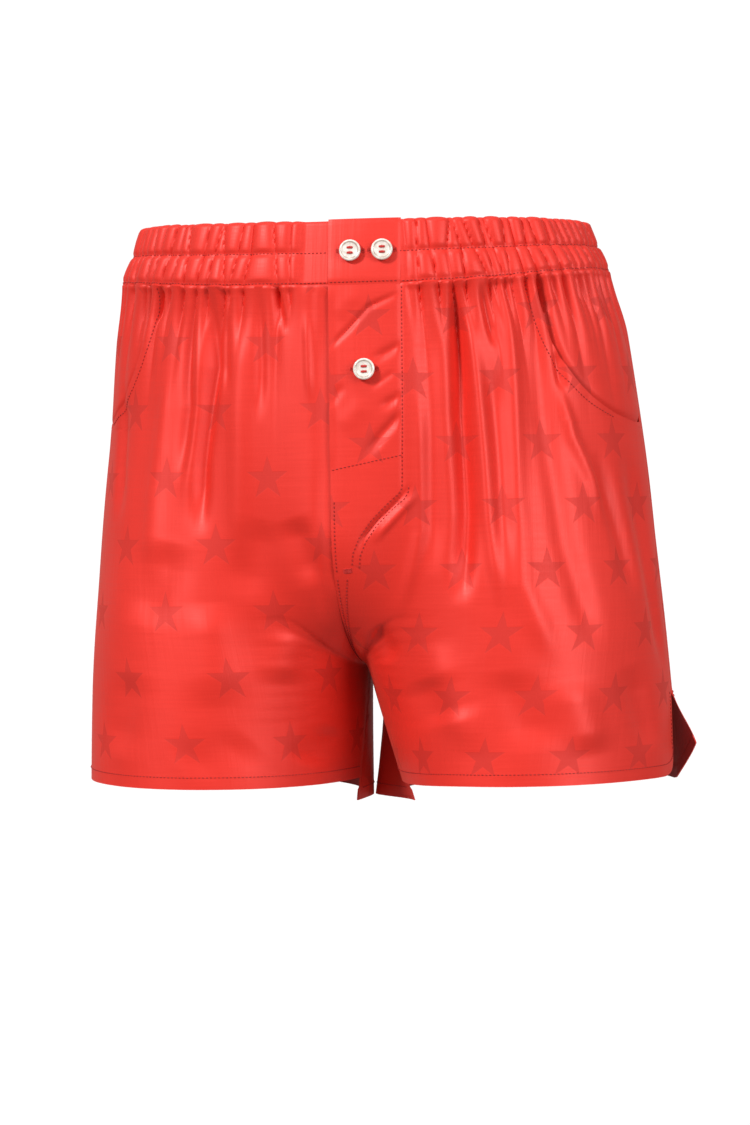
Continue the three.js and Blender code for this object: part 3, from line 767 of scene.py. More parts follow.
def satin(name, ground, deep, star, stars=None, roughness=(0.47, 0.56), sheen=0.25, metallic=0.12):
    """Satin, with stars woven in at (pitch, row pitch, shift) unless stars is None."""
    s = Surface(name)
    uv = s.cloth_place()
    broad, streak = s.noise(uv, (9, 12, 1), 3.0), s.noise(uv, (26, 700, 1), 2.0, 0.6)
    colour = s.mixed(s.between(s.plus(s.times(broad, 0.7), s.times(streak, 0.3)), 0.36, 0.66), deep, ground)
    rough = s.plus(s.times(s.minus(streak, 0.5), 0.16), roughness[0])
    mask = None
    if stars:
        mask = star_mask(s, uv, *stars)
        colour = s.mixed(mask, colour, star)
        rough = s.plus(rough, s.times(mask, roughness[1] - roughness[0]))
    s.bump(satin_height(s, uv, mask))
    return s.shade(
        base_color=colour,
        roughness=rough,
        specular_ior_level=0.36,
        metallic=metallic,
        sheen_weight=sheen,
        sheen_roughness=0.35,
        sheen_tint=(1.0, 0.32, 0.22, 1),
    )


def plain_weave(name, light, dark, roughness, pitch=(900.0, 900.0), bump=0.00005):
    s = Surface(name)
    uv = s.cloth_place()
    threads = s.noise(uv, (pitch[0], pitch[1], pitch[1]), 2.0)
    tone = s.between(s.plus(s.times(threads, 0.5), s.times(s.noise(uv, 40.0, 3.0), 0.5)), 0.35, 0.65)
    s.bump(s.times(threads, bump), 0.8)
    rough = s.plus(s.times(threads, 0.12), roughness - 0.06)
    return s.shade(base_color=s.mixed(tone, dark, light), roughness=rough, sheen_weight=0.15)


def twisted_thread(name, light, dark):
    s = Surface(name)
    wave = s.add("TexWave", bands_direction="DIAGONAL")
    s.feed_all(wave, {"Scale": 900.0, "Distortion": 2.0, "Vector": s.place()})
    twist = wave.outputs["Fac"]
    s.bump(twist, distance=0.0001)
    return s.shade(base_color=s.mixed(twist, dark, light), roughness=0.5)


def mother_of_pearl(name, dark, light):
    s = Surface(name)
    cloud, layers = s.noise(s.place(), 260.0, 4.0, 0.6), s.noise(s.place(), (1400, 1400, 300))
    cream = s.mixed(s.between(cloud, 0.35, 0.65), dark, light)
    s.bump(layers, distance=0.00005)
    return s.shade(
        base_color=s.mixed(s.between(layers, 0.45, 0.75, 0.0, 0.3), cream, (0.86, 0.70, 0.68)),
        roughness=s.between(cloud, 0.3, 0.7, 0.30, 0.18),
        coat_weight=0.6,
        coat_roughness=0.12,
        subsurface_weight=0.12,
        subsurface_radius=(0.0012, 0.0010, 0.0008),
        subsurface_scale=1.0,
    )


# Each panel's stars: (pitch, row pitch, (shift across, shift down)).
STARS = {
    (LEFT, FRONT): (0.056, 0.0410, (-0.026, 0.2055)),
    (RIGHT, FRONT): (0.074, 0.0435, (0.043, 0.2298)),
    (LEFT, BACK): (0.068, 0.0430, (0.012, 0.020)),
    (RIGHT, BACK): (0.068, 0.0430, (0.030, 0.008)),
}
WORD = {LEFT: "left", RIGHT: "right"}
FACE_WORD = {FRONT: "front", BACK: "back"}
RED = ((0.76, 0.030, 0.018), (0.70, 0.0255, 0.0145), (0.60, 0.0235, 0.0145))  # ground, its deep tone, stars
# The reverse face: the satin's duller back, made darker still with painted shade for the garment's shadowed
# inside.
REVERSE_RED_AND_SHADE = ((0.42, 0.012, 0.008), (0.36, 0.010, 0.007), (0.42, 0.012, 0.008))
SATINS = {
    (side, face): satin(f"satin_{FACE_WORD[face]}_{WORD[side]}", *RED, stars)
    for (side, face), stars in STARS.items()
}
plain_satin = satin("satin_plain", *RED)
# The material for every sheet's inner face, with painted shade in its dark colour.
reverse_and_shade = satin("satin_reverse", *REVERSE_RED_AND_SHADE, None, (0.6, 0.5), 0.1, 0.0)
lining = plain_weave("pocket_lining", (0.60, 0.030, 0.022), (0.48, 0.022, 0.016), 0.7)
label_cloth = plain_weave("label_ribbon", (0.86, 0.84, 0.80), (0.74, 0.72, 0.68), 0.5, (300.0, 2200.0))
elastic_weave = plain_weave(
    "elastic_weave", (0.82, 0.80, 0.76), (0.60, 0.58, 0.54), 0.8, (700.0, 1500.0), 0.0002
)
thread = twisted_thread("red_thread", (0.44, 0.012, 0.009), (0.27, 0.007, 0.006))
button_thread = twisted_thread("button_thread", (0.66, 0.026, 0.020), (0.46, 0.014, 0.011))
pearl = mother_of_pearl("mother_of_pearl", (0.66, 0.58, 0.50), (0.84, 0.80, 0.74))
# Darker pearl for the faces between radii 5.0 and 5.9, mostly the rim's inner slope: partly the rim's own
# greyer shell, partly painted shade in the groove round the dish.
pearl_rim_and_shade = mother_of_pearl("mother_of_pearl_rim", (0.42, 0.33, 0.27), (0.62, 0.54, 0.46))


# ---------------------------------------------------------------- panels
def row_drops(top, bottom, exact=(), pitch=1.55):
    marks = [top, *[e for e in exact if top < e < bottom], bottom]
    drops = [top]
    for low, high in zip(marks, marks[1:]):
        drops.extend(np.linspace(low, high, max(count((high - low) / pitch), 1) + 1)[1:])
    return np.array(drops)


def panel_drops(face, share, rows):
    """The rows are level above the thigh and follow the hem below it."""
    level = 300.0
    length = FRONT_LENGTH if face == FRONT else BACK_LENGTH
    below = level + (rows - level) * (hem_drop(face, share) - level) / (length - level)
    return np.where(rows > level, below, rows)


def mouth_lift(face, share, drop):
    """A pocket's mouth stands open a little."""
    if face == BACK:
        return 0 * share
    beside = half_width(drop) * np.sin(share * math.pi / 2) - pocket_mouth(drop)
    along = smooth((drop - 46) / 26) * smooth((POCKET_END_DROP - 2 - drop) / 22)
    return 1.5 * along * bell(beside / 9)


def hem_thickness(face, share, drop):
    turned = smooth((drop - hem_drop(face, share) + HEM_DEPTH) / 0.8)
    return CLOTH + 0.7 * turned


def front_columns(rows):
    """Columns that pass the flap's sewn edge and the pocket's mouth: (share per row and column, marks)."""
    at_flap = share_at(FLAP_WIDTH, rows)
    mouth_end = share_at(pocket_mouth(POCKET_END_DROP), POCKET_END_DROP)
    at_mouth = np.where(rows < POCKET_END_DROP, share_at(pocket_mouth(rows), rows), mouth_end)
    at_middle = share_at(POCKET_TOP_X - 9, rows)
    fly, wide, fan, pocket = count(34), count(80), count(44), count(34)
    pieces = [at_flap[:, None] * np.linspace(0, 1, fly + 1)]
    for start, end, columns in (
        (at_flap, at_middle, wide),
        (at_middle, at_mouth, fan),
        (at_mouth, np.ones(len(rows)), pocket),
    ):
        pieces.append(start[:, None] + (end - start)[:, None] * np.linspace(0, 1, columns + 1)[1:])
    return np.concatenate(pieces, 1), fly, fly + wide + fan


PANEL_MARKS = (BAND_HEIGHT, POCKET_END_DROP, FLAP_LENGTH)


def panel(side, face):
    rows = row_drops(BAND_HEIGHT - 4, FRONT_LENGTH if face == FRONT else BACK_LENGTH, PANEL_MARKS)
    if face == FRONT:
        share, flap_column, mouth_column = front_columns(rows)
        uv_column = flap_column
    else:
        share = np.tile(np.linspace(0, 1, count(190) + 1), (len(rows), 1))
        uv_column = share.shape[1] // 3
    drop = panel_drops(face, share, rows[:, None] + 0 * share)
    spot = share * (1 - vent_share(drop))
    points, out = on_cloth(side, face, spot, drop, mouth_lift(face, spot, drop))
    keep = np.ones((len(rows) - 1, share.shape[1] - 1), bool)
    if face == FRONT:
        above = rows[1:] <= POCKET_END_DROP + 1e-6
        keep[above, mouth_column:] = False
        if side == LEFT:
            keep[rows[1:] <= FLAP_LENGTH + 1e-6, :flap_column] = False
    uv = cloth_uv(middle(side, face, share, drop), drop, uv_column)
    uv[..., 0] *= -side * face
    thickness = hem_thickness(face, share, drop)
    name = f"{FACE_WORD[face]}_panel_{WORD[side]}"
    obj = cloth_mesh(name + "_cloth", points, uv, out, thickness, (SATINS[side, face], reverse_and_shade), keep)
    return in_place_of(obj, name)


panels = {(side, face): panel(side, face) for side in (LEFT, RIGHT) for face in (FRONT, BACK)}


# ---------------------------------------------------------------- waistband
def band_offset(side, at, drop):
    """The outer wall: two channels puffed over their elastics, held in by three rows of stitches."""
    upper = np.sin(math.pi * np.clip(drop / 20, 0, 1))
    lower = np.sin(math.pi * np.clip((drop - 20) / 19.3, 0, 1))
    flatten = smooth((at - (16 if side == RIGHT else FLAP_WIDTH)) / 12) * 0.8 + 0.2
    turned_in = 1.15 * smooth((drop - 39.6) / 1.6)
    return CASING_WALL + 0.55 * (upper + lower) * flatten + band_gathers(side, at, drop) - turned_in


def half_round(side, start_x, pitch):
    """(face, share, girth) of columns from the front, round the side, to the centre back."""
    start = girth(FRONT, share_at(np.array(start_x), BAND_HEIGHT))
    at = np.linspace(start, 2 * QUARTER, count((2 * QUARTER - start) / pitch))
    front = at <= QUARTER
    arc = np.where(front, at, 2 * QUARTER - at)
    return front, np.interp(arc, _table_arc, _table_share), at


def round_points(side, front, share, drop):
    """Points and outward directions on the middle surface, on the front or the back."""
    on_front = front[..., None]
    return [
        np.where(on_front, surface(side, FRONT, share, drop), surface(side, BACK, share, drop))
        for surface in (middle, out_of_cloth)
    ]


def waistband(side):
    front, share, at = half_round(side, FLAP_WIDTH + 0.3 if side == LEFT else 0.3, 1.05)
    outer = np.linspace(BAND_HEIGHT, 1.6, count(40))
    inner = np.linspace(1.6, BAND_HEIGHT, count(20))
    fold = np.linspace(0, math.pi, 9)[1:-1]
    drops = np.concatenate([outer, 1.6 - 2.2 * np.sin(fold), inner])
    rows, cols = len(drops), len(at)
    drop = np.tile(drops[:, None], (1, cols))
    wall = np.concatenate([np.ones(len(outer)), np.cos(fold), -np.ones(len(inner))])[:, None]
    grid_at = np.tile(at, (rows, 1))
    outside = band_offset(side, grid_at, np.maximum(drop, 1.6))
    inside = CASING_WALL + 0.35 * band_gathers(side, grid_at, np.maximum(drop, 1.6))
    offset = np.where(wall > 0, wall * outside, wall * inside)
    gather = band_gathers(side, grid_at, np.full_like(drop, 6.0))
    drop = drop - 0.35 * gather * (1 - np.abs(wall))
    points, out = round_points(side, np.tile(front, (rows, 1)), np.tile(share, (rows, 1)), drop)
    points = points + out * offset[..., None]
    v = lengths_along(points[:, cols // 3])
    uv = np.stack([side * grid_at * 1.25, np.tile(v[:, None], (1, cols))], -1)
    name = "waistband_" + WORD[side]
    facing_out = out.copy()
    facing_out[len(outer) :] *= -1
    obj = cloth_mesh(name + "_cloth", points, uv, facing_out, CLOTH, (plain_satin, reverse_and_shade))
    return in_place_of(obj, name)


bands = {side: waistband(side) for side in (LEFT, RIGHT)}


# ---------------------------------------------------------------- the fly, from the outside in
def front_cloth(x, drop, offset=0.0):
    """Points on the shaped front at x millimetres from the centre line, on either side of it."""
    share = share_at(np.abs(x), drop)
    left, left_out = on_cloth(LEFT, FRONT, share, drop, offset)
    right, right_out = on_cloth(RIGHT, FRONT, share, drop, offset)
    on_left = (x >= 0)[..., None]
    return np.where(on_left, left, right), np.where(on_left, left_out, right_out)


def front_piece(name, x, drop, offset, thickness, materials, keep=None):
    points, out = front_cloth(x, drop, offset)
    uv = np.stack([x, -drop], -1)
    return cloth_mesh(name, points, uv, out, thickness, materials, keep)


SLIT_HALF = 0.25


def slit(x, drop, at_x, at_drop):
    """Cells of a grid that lie in a level buttonhole."""
    mid_x = (x[:-1, :-1] + x[1:, 1:]) / 2
    mid_drop = (drop[:-1, :-1] + drop[1:, 1:]) / 2
    return (np.abs(mid_x - at_x) < BUTTONHOLE_LENGTH / 2) & (np.abs(mid_drop - at_drop) < SLIT_HALF)


def grid(xs, drops):
    return np.meshgrid(np.asarray(xs, float), np.asarray(drops, float))


def blended(obj):
    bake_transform(obj)
    return obj


def around(mark, half, low, high, pitch):
    """Row places from low to high with two close rows either side of a mark."""
    above = np.linspace(low, mark - half, count((mark - half - low) / pitch) + 1)
    below = np.linspace(mark + half, high, count((high - mark - half) / pitch) + 1)
    return np.concatenate([above, below])


flap_satin = (SATINS[LEFT, FRONT], reverse_and_shade)
panel_rows = row_drops(BAND_HEIGHT - 4, FRONT_LENGTH, PANEL_MARKS)
on_flap = (panel_rows >= BAND_HEIGHT) & (panel_rows <= FLAP_LENGTH)
clear_of_slit = np.abs(panel_rows - FLY_BUTTON_DROP) > 0.9
slit_rows = FLY_BUTTON_DROP + np.array([-0.22, 0.22])
flap_rows = np.sort(np.concatenate([panel_rows[on_flap & clear_of_slit], slit_rows]))
flap_x, flap_drop = grid(np.linspace(0, FLAP_WIDTH, count(34) + 1), flap_rows)
fly_slit = ~slit(flap_x, flap_drop, FLY_BUTTON_X, FLY_BUTTON_DROP)


def flap_layer(name, offset, materials):
    obj = front_piece(name + "_cloth", flap_x, flap_drop, offset, CLOTH, materials, fly_slit)
    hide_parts(name)
    return blended(obj)


fly_flap = flap_layer("fly_flap", 0.0, flap_satin)
fly_facing = flap_layer("fly_facing", -0.8, flap_satin[::-1])


def tab_relief(x, drop):
    """The flat tab has a soft pull towards its buttons and is pinched at its edges."""
    pulled = 0.5 * bell((x - 24) / 16) * bell((drop - 9) / 8)
    pulled = pulled + 0.4 * bell((drop - 31) / 6) * bell((x - 18) / 20)
    edges = 0.5 * (bell(x / 1.2) + bell((x - FLAP_WIDTH) / 1.2) + bell((drop + 1) / 1.2))
    stitched = 0.4 * bell((drop - 39.3) / 1.2)
    return pulled - edges - stitched - 0.9 * smooth((drop - 39.0) / 2.2)


def tab_offset(x, drop):
    return TAB_OFFSET + 0.2 + tab_relief(x, drop)


tab_rows = around(WAIST_BUTTON_DROP, 0.22, -1.6, BAND_HEIGHT + 0.3, 1.2)
tab_x, tab_drop = grid(np.linspace(0, FLAP_WIDTH, count(44) + 1), tab_rows)
inner_slit, outer_slit = (slit(tab_x, tab_drop, x, WAIST_BUTTON_DROP) for x in WAIST_BUTTON_X)


def plain_front(x, drop, offset):
    """Points and outward directions on the waistband's unshaped surface at the front."""
    share = share_at(np.abs(x), drop)
    out = out_of_cloth(LEFT, FRONT, share, drop)
    return middle(LEFT, FRONT, share, drop) + out * np.asarray(offset)[..., None], out


def tab_piece(node, x, drop, offset, thickness, body, keep=None):
    points, out = plain_front(x, drop, offset)
    uv = np.stack([x, -drop], -1)
    obj = cloth_mesh(node + "_cloth", points, uv, out, thickness, (plain_satin, reverse_and_shade), keep)
    return in_place_of(obj, node, body)


tab_keep = ~(inner_slit | outer_slit)
waist_tab = tab_piece("waist_tab", tab_x, tab_drop, tab_offset(tab_x, tab_drop), 1.1, "flap", tab_keep)
under_columns = np.linspace(0.3, FLAP_WIDTH - 2, count(30))
under_x, under_drop = grid(under_columns, np.linspace(0, BAND_HEIGHT, count(28)))
under_offset = UNDER_TAB_OFFSET - 0.25 + 0.25 * np.sin(under_x / 6)
under_tab = tab_piece("waist_tab_underlap", under_x, under_drop, under_offset, 0.9, "shorts")


def fly_layer(name, from_x, shortfall, top, offset, materials):
    drops = np.linspace(top, FLY_LENGTH, count((FLY_LENGTH - top) / 2.2))
    t, drop = grid(np.linspace(0, 1, count(30)), drops)
    x = from_x + t * (fly_width(drop) - shortfall - from_x)
    return in_place_of(front_piece(name + "_cloth", x, drop, offset, CLOTH, materials), name)


fly_facing_lower = fly_layer(
    "fly_facing_lower", 0.6, 0.4, FLAP_LENGTH + 0.5, -1.1, flap_satin[::-1]
)
fly_underlap = fly_layer(
    "fly_underlap", -UNDERLAP_BACKING, 2.0, BAND_HEIGHT + 0.3, -2.3, flap_satin
)


# ---------------------------------------------------------------- pockets
def pocket_layer(side, name, offset, materials, cut=0.0, meets_seam=False):
    rows = row_drops(BAND_HEIGHT - 1.2, POCKET_BOTTOM, (POCKET_END_DROP,), 1.7)
    share, drop = grid(np.linspace(9 / 16, 1, count(84)), rows)
    x = half_width(drop) * np.sin(share * math.pi / 2)
    keep = None
    if cut:
        beyond = (x > pocket_mouth(drop) - cut) & (drop < POCKET_END_DROP + 1)
        keep = ~(beyond[:-1, :-1] | beyond[1:, 1:] | beyond[:-1, 1:] | beyond[1:, :-1])
    lift = np.full_like(share, offset)
    if meets_seam:
        # Beyond the mouth the facing comes up to the panel's level, whose place it takes at the side seam.
        beyond = smooth((x - pocket_mouth(drop)) / 5) * smooth((POCKET_END_DROP + 4 - drop) / 12)
        lift = offset * (1 - beyond) - 0.15 * beyond
    points, out = on_cloth(side, FRONT, share, drop, lift)
    uv = cloth_uv(middle(side, FRONT, share, drop), drop, 0)
    uv[..., 0] = (uv[..., 0] + 6) * side
    return in_place_of(cloth_mesh(name + "_cloth", points, uv, out, CLOTH, materials, keep), name)


pockets = {}
for side in (LEFT, RIGHT):
    word = WORD[side]
    pockets[side] = (
        pocket_layer(side, "pocket_facing_" + word, -2.5, (SATINS[side, FRONT], reverse_and_shade), 0, True),
        pocket_layer(side, "pocket_bag_" + word, -1.2, (lining, lining), 2.0),
    )

label_x, label_drop = grid(np.linspace(-17, 17, 24), np.linspace(12, 32, 16))
label_share = share_at(np.abs(label_x), label_drop)
on_side = np.stack([np.where(label_x < 0, RIGHT, LEFT), 1 + 0 * label_x, 1 + 0 * label_x], -1)
label_out = out_of_cloth(LEFT, BACK, label_share, label_drop) * on_side
label_lift = -3.1 - 0.5 * smooth((label_drop - 20) / 12) * bell(label_x / 14)
label_points = middle(LEFT, BACK, label_share, label_drop) * on_side + label_out * label_lift[..., None]
label_uv = np.stack([label_x, -label_drop], -1)
ribbon = (label_cloth, label_cloth)
care_label = cloth_mesh("care_label_cloth", label_points, label_uv, label_out, 0.3, ribbon)
in_place_of(care_label, "care_label")


def elastic_band(name, top):
    """A ribbed elastic, puckered a little, in its channel from the tab right round to the other front."""
    drops = np.linspace(top, top + ELASTIC_WIDTH, count(12))
    halves = []
    for side, start_x in ((LEFT, FLAP_WIDTH + 1.4), (RIGHT, 1.4)):
        front, share, at = half_round(side, start_x, 1.3)
        shape = (len(drops), 1)
        drop = np.tile(drops[:, None], (1, len(at)))
        points, out = round_points(side, np.tile(front, shape), np.tile(share, shape), drop)
        points = points + out * (0.22 * np.sin(at * 2 * math.pi / 4.6))[:, None]
        halves.append((points, out, np.stack([side * np.tile(at, shape), -drop], -1)))
    grids = [np.concatenate([a, b[:, -2::-1]], 1) for a, b in zip(*halves)]
    obj = cloth_mesh(name + "_ribbed", grids[0], grids[2], grids[1], 1.1, (elastic_weave, elastic_weave))
    return in_place_of(obj, name)


elastics = [elastic_band("elastic_upper", 2.4), elastic_band("elastic_lower", 19.6)]


# ---------------------------------------------------------------- stitches
RING = np.linspace(0, 2 * math.pi, 6, endpoint=False)
# Along a stitch: (share of its length, thickness and height, both as shares of its radius).
STITCH_END, STITCH_SHOULDER = (0.45, -0.9), (0.95, 0.15)
STITCH_STATIONS = (
    (-0.5, *STITCH_END),
    (-0.3, *STITCH_SHOULDER),
    (0.0, 1.0, 0.5),
    (0.3, *STITCH_SHOULDER),
    (0.5, *STITCH_END),
)


def along_run(places, gone, values):
    return np.stack([np.interp(places, gone, values[:, i]) for i in range(3)], -1)


def stitch_mesh(name, runs, radius=STITCH_RADIUS, length=STITCH_LENGTH, pitch=STITCH_PITCH, yarn=thread):
    """Short threads along runs of (points, outward directions), each diving into the cloth at its ends."""
    verts, faces, total = [], [], 0
    for points, out in runs:
        gone = lengths_along(points)
        centres = np.arange(pitch / 2, gone[-1], pitch)
        if not len(centres):
            continue
        at = along_run(centres, gone, points)
        n = along_run(centres, gone, out)
        t = along_run(centres + 0.5, gone, points) - along_run(centres - 0.5, gone, points)
        t /= np.maximum(np.linalg.norm(t, axis=1, keepdims=True), 1e-9)
        n -= t * np.sum(n * t, 1, keepdims=True)
        n /= np.maximum(np.linalg.norm(n, axis=1, keepdims=True), 1e-9)
        b = np.cross(t, n)
        rings = []
        for along, thick, height in STITCH_STATIONS:
            centre = at + t * (along * length) + n * (height * radius)
            circle = np.cos(RING)[None, :, None] * n[:, None] + np.sin(RING)[None, :, None] * b[:, None]
            rings.append(centre[:, None] + circle * radius * thick)
        block = np.stack(rings, 1).reshape(len(centres), -1, 3)
        size, sides = block.shape[1], len(RING)
        verts.append(block.reshape(-1, 3))
        local = []
        for i in range(len(STITCH_STATIONS) - 1):
            for j in range(sides):
                k = (j + 1) % sides
                local.append((i * sides + j, i * sides + k, (i + 1) * sides + k, (i + 1) * sides + j))
        caps = [tuple(range(sides))[::-1], tuple(range(size - sides, size))]
        for s in range(len(centres)):
            base = total + s * size
            faces.extend([tuple(base + v for v in f) for f in local + caps])
        total += len(centres) * size
    return mesh_object(name, np.concatenate(verts), faces, materials=(yarn,))


def cloth_run(side, face, share, drop, lift=0.28):
    share = np.asarray(share, float) + 0 * np.asarray(drop, float)
    drop = np.asarray(drop, float) + 0 * share
    return on_cloth(side, face, share, drop, lift + mouth_lift(face, share, drop))


def fly_run(x, drop, lift=0.3):
    return front_cloth(np.asarray(x, float), np.asarray(drop, float), lift)


def band_run(side, drop_value, lift=0.25):
    front, share, at = half_round(side, FLAP_WIDTH + 1 if side == LEFT else 1.0, 0.8)
    drop = np.full(len(at), drop_value)
    points, out = round_points(side, front, share, drop)
    return points + out * (band_offset(side, at, drop) + lift)[:, None], out


def hem_run(side, face):
    share = np.linspace(0.012, 1.0, 260)
    drop = hem_drop(face, share) - (HEM_DEPTH - 1)
    return cloth_run(side, face, share * (1 - vent_share(drop)), drop)


def vent_run(side, face):
    drop = np.linspace(VENT_DROP - 4, hem_drop(face, np.array(0.97)) - 8.5, 40)
    share = (1 - 7.0 / (math.pi * (1 - LEG_BIAS) * LEG_HALF_DEPTH)) * (1 - vent_share(drop))
    return cloth_run(side, face, share, drop)


def sewn(obj, body="shorts"):
    return riding(obj, body)


hem_stitches = {}
for side, face in panels:
    name = f"hem_stitches_{FACE_WORD[face]}_{WORD[side]}"
    hem_stitches[side, face] = sewn(stitch_mesh(name, [hem_run(side, face), vent_run(side, face)]))

band_stitches = {}
for side in (LEFT, RIGHT):
    runs = [band_run(side, 20.0), band_run(side, 39.4)]
    band_stitches[side] = sewn(stitch_mesh("waistband_stitches_" + WORD[side], runs))

pocket_stitches = {}
mouth_drop = np.linspace(BAND_HEIGHT + 1, POCKET_END_DROP - 3, 90)
beside_mouth = share_at(pocket_mouth(mouth_drop) - 5.0, mouth_drop)
for side in (LEFT, RIGHT):
    runs = [cloth_run(side, FRONT, beside_mouth, mouth_drop)]
    pocket_stitches[side] = sewn(stitch_mesh("pocket_stitches_" + WORD[side], runs))


# The J's slanting foot: (x, drop) down its outer stitches.
FLY_J = (
    (46.9, 172.0), (45.0, 175.5), (35.0, 184.0), (26.0, 193.0), (18.0, 204.0), (13.6, 214.0), (12.6, 222.5),
)  # fmt: skip


def j_line(outset, top):
    """The fly's sewn outline: straight down, then slanting in along the J, and a line outset from it."""
    corners = np.array(FLY_J)
    along = np.gradient(corners, axis=0)
    along /= np.linalg.norm(along, axis=1, keepdims=True)
    corners = corners + outset * np.stack([along[:, 1], -along[:, 0]], -1)
    corners = np.concatenate([[(corners[0, 0], top)], corners])
    gone = lengths_along(corners)
    at = np.linspace(0, gone[-1], 260)
    return np.interp(at, gone, corners[:, 0]), np.interp(at, gone, corners[:, 1])


inner_j = j_line(0.0, BAND_HEIGHT + 1)
outer_j = j_line(5.0, 171.0)
below_fly = np.linspace(FLY_LENGTH + 4, CROTCH_DROP - 6, 50)
edge_drop = np.linspace(FLAP_LENGTH + 22, FLY_LENGTH - 1, 40)
fly_runs = [
    fly_run(*inner_j),
    fly_run(*outer_j),
    fly_run(np.linspace(0.6, FLAP_WIDTH, 40), np.linspace(FLAP_LENGTH + 2, FLAP_LENGTH - 7, 40)),
    fly_run(0 * edge_drop + 2.2, edge_drop),
    fly_run(2 + 7.0 * (1 - (below_fly - below_fly[0]) / 62) ** 1.3, below_fly),
    fly_run(2.2 + 0 * below_fly, below_fly),
]
fly_stitches = sewn(stitch_mesh("fly_stitches", fly_runs))


def on_tab(x, drop, lift=0.6):
    return plain_front(x, drop, tab_offset(x, drop) + lift)


tab_run = on_tab(np.linspace(0.8, FLAP_WIDTH - 0.6, 60), np.full(60, 39.3), 0.7)
tab_stitches = sewn(stitch_mesh("waist_tab_stitches", [tab_run]), "flap")


def bartack_run(drop):
    """One of the close crosswise stitches at the fly's foot."""
    return fly_run(np.linspace(6.0, 13.0, 30), np.linspace(drop, drop - 0.6, 30))


bartack_runs = [bartack_run(FLY_LENGTH - 2 + i * 0.62) for i in range(5)]
bartacks = sewn(stitch_mesh("fly_bartack", bartack_runs, 0.26, 6.4, 7.0, button_thread))


def buttonhole_runs(at_x, at_drop, place):
    """Close crosswise stitches round a level slit."""
    xs = np.arange(at_x - BUTTONHOLE_LENGTH / 2 - 0.6, at_x + BUTTONHOLE_LENGTH / 2 + 0.7, 0.55)
    runs = []
    for x in xs:
        end = abs(x - at_x) > BUTTONHOLE_LENGTH / 2
        spans = [(-1.6, 1.6)] if end else [(-1.7, -0.35), (0.35, 1.7)]
        for low, high in spans:
            drop = np.linspace(at_drop + low, at_drop + high, 6)
            runs.append(place(np.full(6, x), drop))
    return runs


tab_holes = [run for x in WAIST_BUTTON_X for run in buttonhole_runs(x, WAIST_BUTTON_DROP, on_tab)]
waist_buttonholes = sewn(stitch_mesh("waist_buttonholes", tab_holes, 0.16, 1.4, 1.3, button_thread), "flap")
fly_hole = buttonhole_runs(FLY_BUTTON_X, FLY_BUTTON_DROP, lambda x, drop: front_cloth(x, drop, 0.25))
fly_buttonhole = stitch_mesh("fly_buttonhole", fly_hole, 0.16, 1.4, 1.3, button_thread)
blended(fly_buttonhole)


# ---------------------------------------------------------------- buttons
BUTTON_PROFILE = (
    (0.0, 0.0), (4.6, 0.0), (5.9, 0.22), (6.55, 0.55), (6.9, 1.0), (7.0, 1.35), (6.95, 1.8), (6.78, 2.2),
    (6.5, 2.47), (6.15, 2.6), (5.8, 2.58), (5.45, 2.42), (5.15, 2.2), (4.9, 2.08), (4.72, 2.1), (4.55, 2.02),
    (4.2, 1.93), (3.4, 1.88), (2.0, 1.86), (0.0, 1.86),
)  # fmt: skip
HOLE_RADIUS = 0.85
HOLE_HALF = 1.7
BUTTON_SIDES = 72
RIM_INNER, RIM_OUTER = 5.0, 5.9


def button_frame(x, drop, offset):
    """A matrix whose Y axis points into the body and whose X axis runs level, on the front."""
    place_drop = np.array([float(drop)])
    share = share_at(np.array([float(x)]), place_drop)
    out = Vector(out_of_cloth(LEFT, FRONT, share, place_drop)[0])
    at = Vector(middle(LEFT, FRONT, share, place_drop)[0]) + out * offset
    level = Vector((-out.y, out.x, 0)).normalized()
    up = level.cross(-out)
    turn = Matrix((level, -out, up)).transposed().to_4x4()
    return Matrix.Translation(at * MM) @ turn


def lathe(profile, sides):
    """A (radius, height) profile turned about the Y axis."""
    verts, faces, rings = [], [], []
    for radius, height in profile:
        if radius == 0:
            rings.append([len(verts)])
            verts.append((0, -height, 0))
        else:
            rings.append(list(range(len(verts), len(verts) + sides)))
            angles = np.linspace(0, 2 * math.pi, sides, endpoint=False)
            verts.extend((radius * math.cos(a), -height, radius * math.sin(a)) for a in angles)
    for low, high in zip(rings, rings[1:]):
        for j in range(sides):
            k = (j + 1) % sides
            if len(low) == 1:
                faces.append((low[0], high[j], high[k]))
            elif len(high) == 1:
                faces.append((low[j], high[0], low[k]))
            else:
                faces.append((low[j], high[j], high[k], low[k]))
    return verts, faces


def cut_holes(disc):
    """Four real holes, cut right through."""
    for x in (-HOLE_HALF, HOLE_HALF):
        for z in (-HOLE_HALF, HOLE_HALF):
            verts, faces = lathe(((0, -1), (HOLE_RADIUS, -1), (HOLE_RADIUS, 4), (0, 4)), 20)
            peg = mesh_object("peg", np.array(verts) + (x, 0, z), faces)
            cut = disc.modifiers.new("hole", "BOOLEAN")
            cut.operation, cut.object, cut.solver = "DIFFERENCE", peg, "EXACT"
            evaluated = disc.evaluated_get(bpy.context.evaluated_depsgraph_get())
            solid = bpy.data.meshes.new_from_object(evaluated)
            disc.modifiers.clear()
            disc.data = solid
            bpy.data.objects.remove(peg)
    return disc


